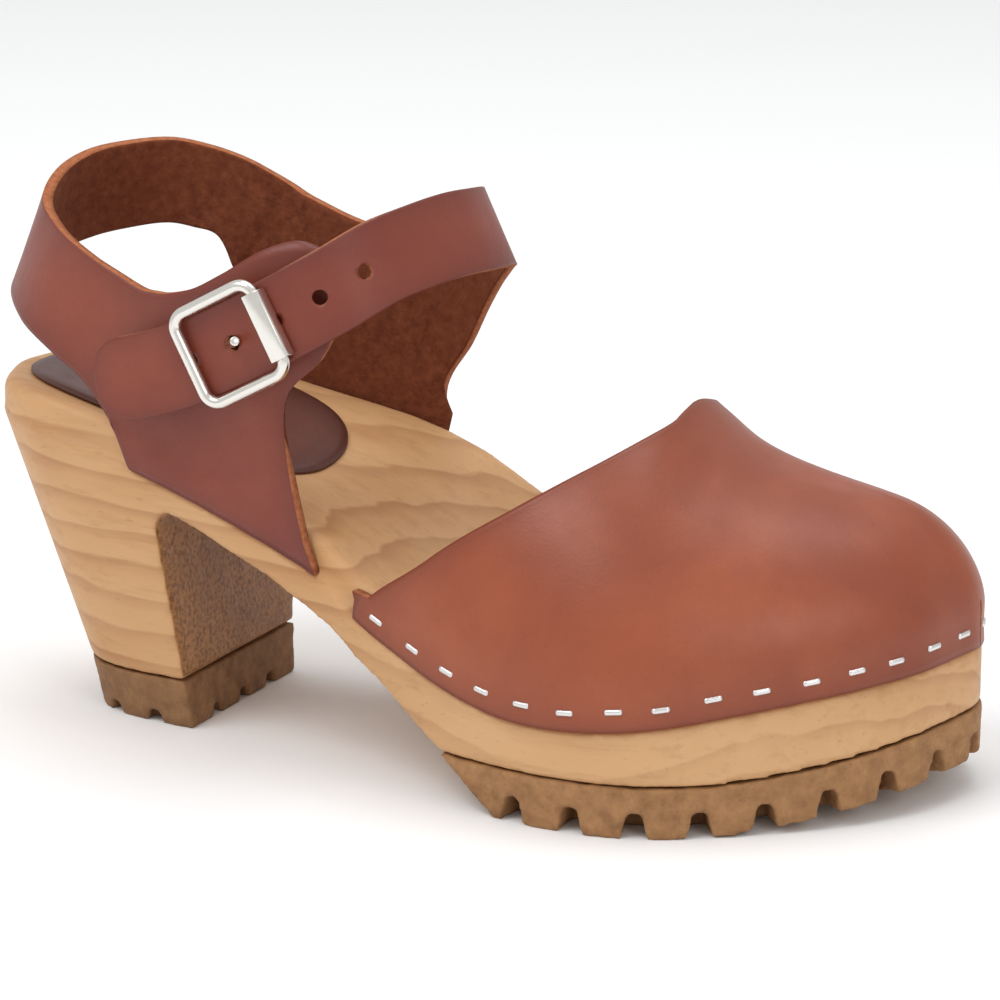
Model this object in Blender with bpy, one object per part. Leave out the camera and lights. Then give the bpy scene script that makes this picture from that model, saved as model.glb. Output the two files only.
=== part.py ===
"""A right clog: wooden block heel and platform, stapled leather vamp, buckled ankle leather.

X runs from the heel (0) to the toe, +Y is the medial side, and the lugs stand on Z = 0.
The empty at the end moves the middle of the length to the origin.
"""

import math

import bmesh
import bpy
import numpy as np
from mathutils import Matrix, Vector

MM = 0.001

# Sizes of the sole
LENGTH = 231.5 * MM
BALL_WIDTH = 95 * MM
HEEL_LEDGE = 68.5 * MM
PLATFORM_LEDGE = 22 * MM
TOE_LEDGE_RISE = 10.5 * MM
TOE_SPRING = 8 * MM
RIM_HEIGHT = 8.5 * MM
RIM_ROUND = 3.2 * MM
FOOTBED_DISH = 3 * MM
RING_LIFTS = (0, 0.33, 0.66, 1)
RING_INWARD = (0.22, 0.5, 0.78, 1)
SPINE_START = 0.06
SPINE_SPAN = 0.89
REBATE_START = 0.05
REBATE_FULL = 0.17
REBATE_LEAST = 0.12

# Heel block and shank
HEEL_RAKE = 22 * MM
HEEL_TAPER = 0.78
HEEL_CENTRE = 3.6 * MM
BREAST_TOP = 53.5 * MM
BREAST_LEAN = 3.6 * MM
BREAST_CORNER = 4 * MM
SHANK = 9 * MM
TAPER_END = 0.6
BASE_BLEND_END = 0.5
BELOW_FLOOR = 5 * MM

# Rubber
OUTSOLE = 11 * MM
HEEL_PIECE = 11.5 * MM
HEEL_PIECE_DRAFT = 2.5 * MM
LUG_PITCH = 14 * MM
LUG_DEPTH = 5.5 * MM
LUG_GAP = 6 * MM
LUG_GAP_ROOT = 3 * MM
LUG_REACH = 9 * MM
HEEL_LUG_PITCH = 12.5 * MM
HEEL_LUG_DEPTH = 3 * MM
HEEL_LUG_GAP = 4.5 * MM
HEEL_LUG_GAP_ROOT = 2.5 * MM
HEEL_LUG_REACH = 6.3 * MM
HEEL_LUG_AIM = 0.75
HEEL_BEYOND = 25 * MM
TREAD_BAR_GAP = 4 * MM
TREAD_BAR_WIDTH = 34 * MM
TREAD_BARS = (0.660, 0.715, 0.770, 0.825, 0.880)
OUTSOLE_BACK = 0.53
FIRST_GAP = 28 * MM
GAP_OUTSIDE = 4 * MM

# Leather
LEATHER = 2.4 * MM
PAD = 1.2 * MM
PAD_BACK = 6.5 * MM
PAD_LENGTH = 76 * MM
PAD_WIDTH = 48 * MM
PAD_POWER = 2.3
FIT = 0.3 * MM
REBATE = 2.2 * MM
PROUD = LEATHER + FIT - REBATE
VAMP_HEIGHT = 60 * MM
VAMP_ROWS = 13
VAMP_BAND_ROWS = 2
VAMP_COLUMNS = 26
TOE_FAN = 23 * MM
TOE_FAN_START = 0.63
TOE_POWER_START = 0.72
TOE_POWER_END = 0.97
ARCH_POWER = 1.8
TOE_POWER = 1.75
THROAT_PEAK = 169.5 * MM
THROAT_CORNERS = (106.2 * MM, 124 * MM)
ANKLE_TOP = 125 * MM
STRAP_WIDTH = 18.5 * MM
STRAP_TIP = 9 * MM
STRAP_TIP_LEAST = 0.3
SEAT_START = 0.14

# Buckle
BUCKLE = 21 * MM
BUCKLE_ALONG = 79.5 * MM
BUCKLE_CORNER = 3.5 * MM
WIRE = 2.7 * MM
SLEEVE_WIDTH = 4.6 * MM
SLEEVE_LENGTH = 15.5 * MM
SLEEVE_SHEET = 0.6 * MM
PLATE = 0.9 * MM
PLATE_GAP = 0.9 * MM
PLATE_WIDTH = 7 * MM
PRONG = 2.1 * MM
PRONG_RISE = 4.7 * MM
PRONG_LEAN = 38
PRONG_TIP = 4.6 * MM
PRONG_JOIN = 0.8 * MM
HOLE = 3.4 * MM
HOLE_PITCH = 11.3 * MM
REACH = 4 * MM
HOLES_BEHIND = 1
HOLES_AHEAD = 3
WIRE_HEIGHT = FIT + WIRE / 2

# Plan of the sole, from the heel round the lateral side to the toe and back.
# Shares: along of the length, across of the ball width
OUTLINE = (
    # along, across
    (0.000, 0.055),
    (0.011, -0.071),
    (0.037, -0.187),
    (0.080, -0.260),
    (0.140, -0.297),
    (0.226, -0.316),
    (0.330, -0.327),
    (0.416, -0.345),
    (0.494, -0.382),
    (0.571, -0.445),
    (0.649, -0.490),
    (0.718, -0.499),
    (0.778, -0.466),
    (0.834, -0.387),
    (0.886, -0.292),
    (0.933, -0.187),
    (0.972, -0.060),
    (0.991, 0.066),
    (1.000, 0.150),
    (0.991, 0.240),
    (0.968, 0.340),
    (0.925, 0.424),
    (0.864, 0.476),
    (0.787, 0.499),
    (0.700, 0.490),
    (0.614, 0.455),
    (0.528, 0.418),
    (0.433, 0.392),
    (0.330, 0.387),
    (0.226, 0.392),
    (0.140, 0.376),
    (0.071, 0.324),
    (0.024, 0.218),
)

# Ledge under the leather's edge: its fall from heel height (1) to platform height (0), each side
FALL = (
    # along, lateral, medial
    (0.000, 1.000, 1.000),
    (0.070, 0.990, 0.990),
    (0.140, 0.938, 0.957),
    (0.200, 0.865, 0.914),
    (0.270, 0.753, 0.850),
    (0.347, 0.609, 0.785),
    (0.399, 0.505, 0.728),
    (0.433, 0.420, 0.665),
    (0.459, 0.300, 0.605),
    (0.502, 0.194, 0.465),
    (0.563, 0.086, 0.260),
    (0.631, 0.010, 0.075),
    (0.696, 0.000, 0.010),
    (0.760, 0.000, 0.000),
    (1.000, 0.000, 0.000),
)

# Lift toward the toe: of the ledge, and of the tread
LIFT = (
    # along, ledge, tread
    (0.700, 0.00, 0.00),
    (0.755, 0.10, 0.00),
    (0.804, 0.25, 0.00),
    (0.847, 0.42, 0.07),
    (0.890, 0.58, 0.25),
    (0.933, 0.74, 0.50),
    (0.976, 0.90, 0.83),
    (1.000, 1.00, 1.00),
)

# Wood left below the lateral ledge, as a share of the shank size
SHANK_ROWS = (
    # along, thickness
    (0.245, 0.72),
    (0.275, 0.74),
    (0.310, 0.82),
    (0.350, 0.88),
    (0.397, 1.05),
    (0.433, 1.10),
    (0.470, 1.05),
    (0.519, 1.35),
    (0.569, 1.72),
    (0.623, 2.46),
    (0.650, 2.90),
)

# Crest of the vamp: height over the platform ledge as a share of the vamp's height
CREST = (
    # along, height, across
    (0.450, 1.34, 0.040),
    (0.530, 1.32, 0.040),
    (0.590, 1.27, 0.042),
    (0.650, 1.17, 0.046),
    (0.700, 1.08, 0.052),
    (0.730, 1.01, 0.056),
    (0.757, 0.910, 0.062),
    (0.782, 0.850, 0.070),
    (0.817, 0.793, 0.085),
    (0.869, 0.735, 0.110),
    (0.899, 0.710, 0.130),
)

# Throat edge: bottom edge (-1), top of the wood's rim (0), peak (1).
# Shares of the way from corner to peak
THROAT = (
    # up, lateral, medial
    (-1.0, 0.00, 0.00),
    (-0.5, 0.01, 0.01),
    (0.0, 0.065, 0.065),
    (0.2, 0.31, 0.31),
    (0.4, 0.607, 0.607),
    (0.6, 0.852, 0.852),
    (0.8, 0.985, 0.985),
    (1.0, 1.00, 1.00),
)

# One strip round the ankle by its top edge: from the buckle's flag back round the heel and over the instep.
# Shares: along of the length, across of the ball width, top of the ankle's height, width of the strap's.
# Lean is how far its face tips up, in degrees. Where the strip is stapled to the wood, side and foot
# give the place that its lower edge reaches.
STRIP = (
    # along, across, top, width, lean, side, foot
    (0.416, -0.280, 0.926, None, 0, 0, 0.415),
    (0.394, -0.300, 0.934, None, 0, 0, 0.392),
    (0.360, -0.322, 0.914, None, 0, 0, 0.355),
    (0.322, -0.335, 0.873, None, 0, 0, 0.310),
    (0.287, -0.330, 0.838, None, 0, 0, 0.262),
    (0.257, -0.322, 0.822, None, 0, 0, 0.222),
    (0.240, -0.316, 0.820, None, 0, 0, 0.209),
    (0.222, -0.308, 0.823, 1.75, 4, None, None),
    (0.190, -0.285, 0.842, 1.42, 8, None, None),
    (0.150, -0.250, 0.866, 1.32, 13, None, None),
    (0.103, -0.185, 0.896, 1.27, 18, None, None),
    (0.060, -0.080, 0.930, 1.26, 20, None, None),
    (0.044, 0.050, 0.965, 1.25, 19, None, None),
    (0.051, 0.165, 0.988, 1.20, 16, None, None),
    (0.074, 0.260, 0.997, 1.14, 12, None, None),
    (0.110, 0.330, 1.000, 1.10, 8, None, None),
    (0.150, 0.362, 0.986, 1.08, 5, None, None),
    (0.186, 0.376, 0.966, 1.08, 3, None, None),
    (0.215, 0.390, 0.940, 1.35, 2, None, None),
    (0.236, 0.397, 0.920, 1.95, 1, None, None),
    (0.252, 0.392, 0.906, None, 0, 1, 0.245),
    (0.268, 0.392, 0.894, None, 0, 1, 0.262),
    (0.300, 0.392, 0.872, None, 0, 1, 0.305),
    (0.335, 0.390, 0.856, None, 0, 1, 0.360),
    (0.364, 0.388, 0.850, None, 0, 1, 0.404),
    (0.384, 0.386, 0.852, 1.95, 3, None, None),
    (0.398, 0.378, 0.858, 1.45, 5, None, None),
    (0.414, 0.364, 0.872, 1.12, 9, None, None),
    (0.436, 0.338, 0.904, 1.00, 14, None, None),
    (0.463, 0.284, 0.950, 1.00, 20, None, None),
    (0.486, 0.190, 0.979, 1.00, 25, None, None),
    (0.493, 0.080, 0.992, 1.00, 25, None, None),
    (0.486, -0.030, 0.996, 1.00, 24, None, None),
    (0.472, -0.145, 0.988, 1.00, 22, None, None),
    (0.453, -0.258, 0.970, 1.00, 16, None, None),
    (0.422, -0.346, 0.930, 1.00, 9, None, None),
    (0.376, -0.388, 0.880, 1.00, 4, None, None),
    (0.322, -0.398, 0.824, 1.00, 2, None, None),
    (0.266, -0.398, 0.777, 1.00, 2, None, None),
    (0.222, -0.396, 0.750, 1.00, 2, None, None),
    (0.182, -0.388, 0.732, 1.00, 2, None, None),
)

# Front edge of the buckle's flag: how far it lies behind (-) or before its line.
# Shares of the strap's width
FLAG_EDGE = (
    # up, forward
    (0.00, 0.00),
    (0.14, -0.18),
    (0.37, -0.40),
    (0.48, -0.45),
    (0.56, -0.38),
    (0.64, -0.05),
    (0.74, 0.15),
    (0.85, 0.20),
    (0.95, 0.08),
    (1.00, -0.10),
)
FLAG_REACH = 3
STRIP_SPAN = 2
STRIP_SHARES = (0, 0.12, 0.24, 0.38, 0.52, 0.66, 0.82, 1)


def follow(at, rows, column):
    """A smooth, unkinked read of one column of a table at the given places of its first column."""
    x = np.array([row[0] for row in rows])
    y = np.array([row[column] for row in rows])
    at = np.clip(np.asarray(at, float), x[0], x[-1])
    rise = np.diff(y) / np.diff(x)
    slope = np.concatenate([[rise[0]], (rise[1:] + rise[:-1]) / 2, [rise[-1]]])
    turns = np.concatenate([[False], rise[1:] * rise[:-1] <= 0, [False]])
    slope[turns] = 0
    i = np.clip(np.searchsorted(x, at, side="right") - 1, 0, len(x) - 2)
    step = x[i + 1] - x[i]
    t = (at - x[i]) / step
    return (
        y[i] * (1 + 2 * t) * (1 - t) ** 2
        + slope[i] * step * t * (1 - t) ** 2
        + y[i + 1] * t**2 * (3 - 2 * t)
        + slope[i + 1] * step * t**2 * (t - 1)
    )


def spline(points, closed, per_span):
    """Points along a Catmull-Rom curve through the given ones."""
    points = np.asarray(points, float)
    count = len(points)
    spans = count if closed else count - 1
    out = []
    for i in range(spans):
        places = [i - 1, i, i + 1, i + 2]
        near = [points[k % count] if closed else points[min(max(k, 0), count - 1)] for k in places]
        for t in np.linspace(0, 1, per_span, endpoint=False):
            out.append(
                0.5
                * (
                    2 * near[1]
                    + (near[2] - near[0]) * t
                    + (2 * near[0] - 5 * near[1] + 4 * near[2] - near[3]) * t**2
                    + (3 * near[1] - near[0] - 3 * near[2] + near[3]) * t**3
                )
            )
    if not closed:
        out.append(points[-1])
    return np.array(out)


def smoothstep(x, start, end):
    t = np.clip((np.asarray(x, float) - start) / (end - start), 0, 1)
    return t * t * (3 - 2 * t)


PLAN = spline([(along * LENGTH, across * BALL_WIDTH) for along, across in OUTLINE], True, 24)


def offset_plan(distance):
    """The plan moved outwards by a distance."""
    ahead = np.roll(PLAN, -1, axis=0) - np.roll(PLAN, 1, axis=0)
    ahead /= np.linalg.norm(ahead, axis=1)[:, None]
    outward = np.stack([ahead[:, 1], -ahead[:, 0]], 1)
    return PLAN + outward * distance


def sides_of(plan):
    """The lateral and the medial half of a plan, each from heel to toe."""
    heel = int(np.argmin(plan[:, 0]))
    plan = np.roll(plan, -heel, axis=0)
    toe = int(np.argmax(plan[:, 0]))
    lateral = plan[: toe + 1]
    medial = np.concatenate([plan[toe:], plan[:1]])[::-1]
    return lateral, medial


def edge_at(plan, side, x):
    """Y of a plan's edge at X on one side (0 lateral, 1 medial)."""
    half = sides_of(plan)[side]
    order = np.argsort(half[:, 0], kind="stable")
    return np.interp(x, half[order, 0], half[order, 1])


def ledge(x, side):
    share = x / LENGTH
    fall = follow(share, FALL, 1 + side)
    return PLATFORM_LEDGE + (HEEL_LEDGE - PLATFORM_LEDGE) * fall + TOE_LEDGE_RISE * follow(share, LIFT, 1)


def tread(x):
    return TOE_SPRING * follow(x / LENGTH, LIFT, 2)


def footbed(x, y):
    """Height of the wood's top at a place in plan."""
    lateral = edge_at(PLAN, 0, x)
    medial = edge_at(PLAN, 1, x)
    share = np.clip((y - lateral) / np.maximum(medial - lateral, MM), 0, 1)
    low = ledge(x, 0) + RIM_HEIGHT
    high = ledge(x, 1) + RIM_HEIGHT
    width = (medial - lateral) / BALL_WIDTH
    mix = share * share * (3 - 2 * share)
    dish = 4 * share * (1 - share) * np.clip(width * 1.4, 0, 1)
    return low + (high - low) * mix - FOOTBED_DISH * dish


def new_object(name, mesh, material=None):
    thing = bpy.data.objects.new(name, mesh)
    bpy.context.scene.collection.objects.link(thing)
    if material:
        mesh.materials.append(material)
    return thing


def mesh_from(name, points, faces):
    """A welded mesh with its faces turned to agree."""
    mesh = bpy.data.meshes.new(name)
    work = bmesh.new()
    corners = [work.verts.new(point) for point in points]
    for face in faces:
        distinct = list(dict.fromkeys(face))
        if len(distinct) > 2:
            work.faces.new([corners[i] for i in distinct])
    bmesh.ops.remove_doubles(work, verts=work.verts, dist=0.001 * MM)
    bmesh.ops.recalc_face_normals(work, faces=work.faces)
    work.to_mesh(mesh)
    work.free()
    mesh.shade_smooth()
    return mesh


def cut_with(thing, cutter):
    modifier = thing.modifiers.new("cut by " + cutter.name, "BOOLEAN")
    modifier.object = cutter
    modifier.operation = "DIFFERENCE"
    modifier.solver = "EXACT"


def cutter_object(name, points, faces):
    cutter = new_object(name, mesh_from(name, points, faces))
    cutter.hide_render = True
    cutter.display_type = "WIRE"
    return cutter


def material(name, colour, roughness, metallic=0.0):
    made = bpy.data.materials.new(name)
    made.use_nodes = True
    shader = made.node_tree.nodes["Principled BSDF"]
    shader.inputs["Base Color"].default_value = (*colour, 1)
    shader.inputs["Roughness"].default_value = roughness
    shader.inputs["Metallic"].default_value = metallic
    made.diffuse_color = (*colour, 1)
    return made


def heel_plan(x, y):
    """Where a point of the top plan lands on the heel's base: raked forwards and tapered."""
    rake = HEEL_RAKE * np.clip(1 - x / (BREAST_TOP + BREAST_LEAN), 0, 1)
    taper = HEEL_TAPER + (1 - HEEL_TAPER) * smoothstep(x, BREAST_TOP, TAPER_END * LENGTH)
    return x + rake, HEEL_CENTRE + (y - HEEL_CENTRE) * taper


def stations(count, ease=0.93):
    """Places along the length, close together at both ends."""
    share = np.linspace(0, 1, count + 1)
    return share - ease * np.sin(2 * np.pi * share) / (2 * np.pi)


def wood_rings(count=46):
    """Rings of the wooden sole from its base up and in over the footbed, as (x, y, z) per side."""
    share = stations(count)
    spine_x = LENGTH * (SPINE_START + SPINE_SPAN * np.linspace(0, 1, count + 1))
    spine_y = (edge_at(PLAN, 0, spine_x) + edge_at(PLAN, 1, spine_x)) / 2
    spine_base_x, spine_base_y = heel_plan(spine_x, spine_y)
    rings = []
    for side in (0, 1):
        levels = []
        half = sides_of(PLAN)[side]
        x = half[0, 0] + (half[-1, 0] - half[0, 0]) * share
        y = edge_at(PLAN, side, x)
        base_x, base_y = heel_plan(x, y)
        base_z = base_of_wood(x)
        top = ledge(x, side)
        base = np.stack([base_x, base_y, base_z])
        edge = np.stack([x, y, top])
        for lift in RING_LIFTS:
            levels.append(tuple(base + (edge - base) * lift))
        deeper = smoothstep(x, REBATE_START * LENGTH, REBATE_FULL * LENGTH)
        depth = REBATE * (REBATE_LEAST + (1 - REBATE_LEAST) * deeper)
        for inset, drop in ((0, None), (0, 1), (0.3, 0.3), (1, 0)):
            at_x, at_y = inset_point(side, x, y, depth + RIM_ROUND * inset)
            z = top if drop is None else footbed(at_x, at_y) - RIM_ROUND * drop
            levels.append((at_x, at_y, z))
        rim_x, rim_y = levels[-1][0], levels[-1][1]
        for inward in RING_INWARD:
            at_x = rim_x + (spine_x - rim_x) * inward
            at_y = rim_y + (spine_y - rim_y) * inward
            levels.append((at_x, at_y, footbed(at_x, at_y)))
        levels.insert(0, (spine_base_x, spine_base_y, base_of_wood(spine_x)))
        rings.append(np.array(levels).transpose(0, 2, 1))
    return rings


def inset_point(side, x, y, distance):
    """A plan point moved inwards, square to the edge."""
    half = sides_of(PLAN)[side]
    ahead = np.gradient(half, axis=0)
    ahead /= np.linalg.norm(ahead, axis=1)[:, None]
    sign = 1 if side == 0 else -1
    inward = np.stack([-ahead[:, 1], ahead[:, 0]], 1) * sign
    inward[0] = (1, 0)
    inward[-1] = (-1, 0)
    order = np.argsort(half[:, 0], kind="stable")
    in_x = np.interp(x, half[order, 0], inward[order, 0])
    in_y = np.interp(x, half[order, 0], inward[order, 1])
    return x + in_x * distance, y + in_y * distance


def base_of_wood(x):
    """Height of the wood's base: on the heel piece behind, on the outsole in front."""
    front = tread(x) + OUTSOLE + FIT
    return HEEL_PIECE + FIT + (front - HEEL_PIECE - FIT) * smoothstep(x, BREAST_TOP, BASE_BLEND_END * LENGTH)


def loft_sides(rings):
    """Points and faces of a solid whose two sides share their first and last level."""
    lateral, medial = rings
    levels, count, _ = lateral.shape
    points = [tuple(point) for ring in (lateral, medial) for level in ring for point in level]
    faces = []
    for side in (0, 1):
        start = side * levels * count
        for i in range(levels - 1):
            for j in range(count - 1):
                a = start + i * count + j
                faces.append((a, a + 1, a + count + 1, a + count))
    return points, faces


def arch_profile():
    """The outline removed below the shank: breast, underside and the platform's back, in X and Z."""
    along = np.linspace(SHANK_ROWS[0][0], SHANK_ROWS[-1][0], 26)
    under = []
    for share in along:
        x = share * LENGTH
        under.append((x, ledge(x, 0) - SHANK * follow(share, SHANK_ROWS, 1)))
    first = under[0]
    drop = first[1] - HEEL_PIECE
    corner = []
    for angle in np.linspace(0, math.pi / 2, 5)[:-1]:
        corner.append(
            (
                BREAST_TOP + BREAST_CORNER * (1 - math.cos(angle)),
                first[1] - BREAST_CORNER * (1 - math.sin(angle)),
            )
        )
    floor = -BELOW_FLOOR
    below = [point for point in under if point[1] < floor]
    under = [point for point in under if point[1] >= floor] + below[:1]
    foot = BREAST_TOP + BREAST_LEAN * (first[1] - floor) / drop
    deep = floor - BELOW_FLOOR
    return [(foot, floor)] + corner + under + [(under[-1][0], deep), (foot, deep)]


def arch_cutter():
    profile = arch_profile()
    reach = BALL_WIDTH
    points = [(x, y, z) for y in (-reach, reach) for x, z in profile]
    count = len(profile)
    faces = [tuple(range(count)), tuple(range(count, 2 * count))]
    for i in range(count):
        after = (i + 1) % count
        faces.append((i, after, after + count, i + count))
    return cutter_object("cut_arch", points, faces)


def wooden_sole(wood, arch):
    mesh = mesh_from("wooden_sole", *loft_sides(wood_rings()))
    sole = new_object("wooden_sole", mesh, wood)
    cut_with(sole, arch)
    return sole


def slab(name, lateral, medial, low, high, draft=0.0):
    """A flat solid between two edges, with functions of X for bottom and top, and the base's inset."""
    count = len(lateral)
    points = []
    for height, inset in ((low, draft), (high, 0.0)):
        edges = []
        for row, other in ((lateral, medial), (medial, lateral)):
            toward = (row.mean(axis=0) + other.mean(axis=0)) / 2 - row
            toward /= np.linalg.norm(toward, axis=1)[:, None]
            edges.append(row + toward * inset)
        for row in (edges[0], (edges[0] + edges[1]) / 2, edges[1]):
            points += [(x, y, z) for (x, y), z in zip(row, height(row[:, 0]))]
    faces = []
    for j in range(count - 1):
        for a, b in ((0, 1), (1, 2), (2, 5), (5, 4), (4, 3), (3, 0)):
            faces.append((a * count + j, a * count + j + 1, b * count + j + 1, b * count + j))
    for j in (0, count - 1):
        faces.append(tuple(row * count + j for row in (0, 1, 4, 3)))
        faces.append(tuple(row * count + j for row in (1, 2, 5, 4)))
    return mesh_from(name, points, faces)


def gap_prism(centre, inward, low, depth, wide, narrow, reach, outside):
    """The eight corners of one gap between lugs: a wedge running in from the edge."""
    inward = np.array(inward) / np.linalg.norm(inward)
    along = np.array((-inward[1], inward[0]))
    corners = []
    mouth = low - MM
    root = low + depth
    section = ((-wide / 2, mouth), (wide / 2, mouth), (narrow / 2, root), (-narrow / 2, root))
    for far in (-outside, reach):
        for half, z in section:
            at = np.array(centre) + inward * far + along * half
            corners.append((at[0], at[1], z))
    return corners


BOX_FACES = ((0, 1, 2, 3), (4, 5, 6, 7), (0, 1, 5, 4), (1, 2, 6, 5), (2, 3, 7, 6), (3, 0, 4, 7))


def gap_cutter(name, gaps):
    points = []
    faces = []
    for gap in gaps:
        start = len(points)
        points += gap_prism(*gap)
        faces += [tuple(start + i for i in face) for face in BOX_FACES]
    return cutter_object(name, points, faces)


def edge_gaps(path, first, pitch, count):
    """Evenly spaced places on an edge with the direction in from it."""
    step = np.linalg.norm(np.diff(path, axis=0), axis=1)
    run = np.concatenate([[0], np.cumsum(step)])
    ahead = np.gradient(path, axis=0)
    found = []
    for i in range(count):
        at = first + pitch * i
        x = np.interp(at, run, path[:, 0])
        y = np.interp(at, run, path[:, 1])
        ahead_x = np.interp(at, run, ahead[:, 0])
        ahead_y = np.interp(at, run, ahead[:, 1])
        found.append(((x, y), (-ahead_y, ahead_x)))
    return found


def outsole(rubber, arch):
    plan = offset_plan(FIT)
    toe = plan[:, 0].max()
    back = OUTSOLE_BACK * LENGTH
    share = np.sin(np.linspace(0, math.pi / 2, 34))
    x = back + (toe - back) * share
    lateral = np.stack([x, edge_at(plan, 0, x)], 1)
    medial = np.stack([x, edge_at(plan, 1, x)], 1)
    mesh = slab("forefoot_outsole", lateral, medial, tread, lambda at: tread(at) + OUTSOLE)
    thing = new_object("forefoot_outsole", mesh, rubber)
    cut_with(thing, arch)
    rim = np.concatenate([lateral, medial[::-1][1:]])
    rim_length = np.linalg.norm(np.diff(rim, axis=0), axis=1).sum()
    count = int((rim_length - 2 * FIRST_GAP) / LUG_PITCH) + 1
    spread = (rim_length - 2 * FIRST_GAP) / (count - 1)
    gaps = []
    for centre, inward in edge_gaps(rim, FIRST_GAP, spread, count):
        low = float(tread(centre[0]))
        gaps.append((centre, inward, low, LUG_DEPTH, LUG_GAP, LUG_GAP_ROOT, LUG_REACH, GAP_OUTSIDE))
    wide = TREAD_BAR_GAP
    for share in TREAD_BARS:
        x = share * LENGTH
        start = (edge_at(plan, 0, x) + edge_at(plan, 1, x) - TREAD_BAR_WIDTH) / 2
        low = float(tread(x))
        gaps.append(((x, start), (0, 1), low, LUG_DEPTH / 2, wide, wide / 2, TREAD_BAR_WIDTH, 0))
    cut_with(thing, gap_cutter("cut_outsole_gaps", gaps))
    return thing


def heel_piece(rubber, arch):
    share = stations(40)
    front = BREAST_TOP + BREAST_LEAN
    reach = front + HEEL_BEYOND
    x = share[share < reach / LENGTH] * LENGTH
    x = np.append(x, reach)
    rows = [np.stack(heel_plan(x, edge_at(PLAN, side, x)), 1) for side in (0, 1)]
    top = lambda at: np.full_like(at, HEEL_PIECE)
    mesh = slab("heel_top_piece", *rows, np.zeros_like, top, HEEL_PIECE_DRAFT)
    thing = new_object("heel_top_piece", mesh, rubber)
    cut_with(thing, arch)
    curve = np.concatenate([rows[0][::-1], rows[1][1:]])
    curve = curve[curve[:, 0] < front]
    length = np.linalg.norm(np.diff(curve, axis=0), axis=1).sum()
    count = int(length / HEEL_LUG_PITCH)
    spread = length / count
    shape = (0, HEEL_LUG_DEPTH, HEEL_LUG_GAP, HEEL_LUG_GAP_ROOT, HEEL_LUG_REACH, GAP_OUTSIDE)
    gaps = []
    for centre, _ in edge_gaps(curve, spread / 2, spread, count):
        inward = (front * HEEL_LUG_AIM - centre[0], HEEL_CENTRE - centre[1])
        gaps.append((centre, inward, *shape))
    for across in (-1, 0, 1):
        centre = (front, HEEL_CENTRE + across * HEEL_LUG_PITCH)
        gaps.append((centre, (-1, 0), *shape))
    cut_with(thing, gap_cutter("cut_heel_gaps", gaps))
    return thing


def rounded(part, power):
    """A cosine or sine drawn out so that the ellipse it makes grows squarer."""
    return math.copysign(abs(part) ** (2 / power), part)


def heel_pad(leather):
    """A thin oval of leather on the seat of the heel, curved as the wood under it."""
    start, end = PAD_BACK, PAD_BACK + PAD_LENGTH
    half = PAD_WIDTH / 2
    count, rings = 36, 5
    centre_x = (start + end) / 2
    points = []
    for layer in (FIT, FIT + PAD):
        for ring in range(rings + 1):
            share = ring / rings
            for k in range(count if ring else 1):
                angle = 2 * math.pi * k / count
                x = centre_x + (end - start) / 2 * share * rounded(math.cos(angle), PAD_POWER)
                y = HEEL_CENTRE + half * share * rounded(math.sin(angle), PAD_POWER)
                points.append((x, y, float(footbed(x, y)) + layer))
    per_layer = 1 + rings * count
    faces = []
    for layer in (0, 1):
        start_at = layer * per_layer
        for k in range(count):
            after = (k + 1) % count
            faces.append((start_at, start_at + 1 + k, start_at + 1 + after))
            for ring in range(rings - 1):
                a = start_at + 1 + ring * count
                faces.append((a + k, a + count + k, a + count + after, a + after))
    rim = 1 + (rings - 1) * count
    for k in range(count):
        after = (k + 1) % count
        faces.append((rim + k, rim + after, per_layer + rim + after, per_layer + rim + k))
    return new_object("heel_pad", mesh_from("heel_pad", points, faces), leather)


def superellipse(angle, power):
    """Run in (0 to 1) and rise (0 to 1) of a rounded quarter arch."""
    return 1 - np.cos(angle) ** (2 / power), np.sin(angle) ** (2 / power)


def toe_fan(x):
    """How far behind its bottom edge the vamp's crest lies."""
    share = max((x / LENGTH - TOE_FAN_START) / (1 - TOE_FAN_START), 0)
    return TOE_FAN * share**2


def vamp_surface(plan, side, along, up):
    """A point on the vamp's outer face: along its bottom edge, and up (0 to 1) over to the crest."""
    x = along
    y = edge_at(plan, side, x)
    crest_x = x - toe_fan(x)
    crest_share = crest_x / LENGTH
    crest_z = PLATFORM_LEDGE + VAMP_HEIGHT * float(follow(crest_share, CREST, 1))
    crest_y = BALL_WIDTH * float(follow(crest_share, CREST, 2))
    low = float(ledge(np.minimum(x, LENGTH), side)) + RIM_HEIGHT - 0.5 * MM
    nearer = float(smoothstep(x / LENGTH, TOE_POWER_START, TOE_POWER_END))
    power = ARCH_POWER + (TOE_POWER - ARCH_POWER) * nearer
    run, rise = superellipse(up * math.pi / 2, power)
    return (x + (crest_x - x) * run, y + (crest_y - y) * run, low + (crest_z - low) * rise)


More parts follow.
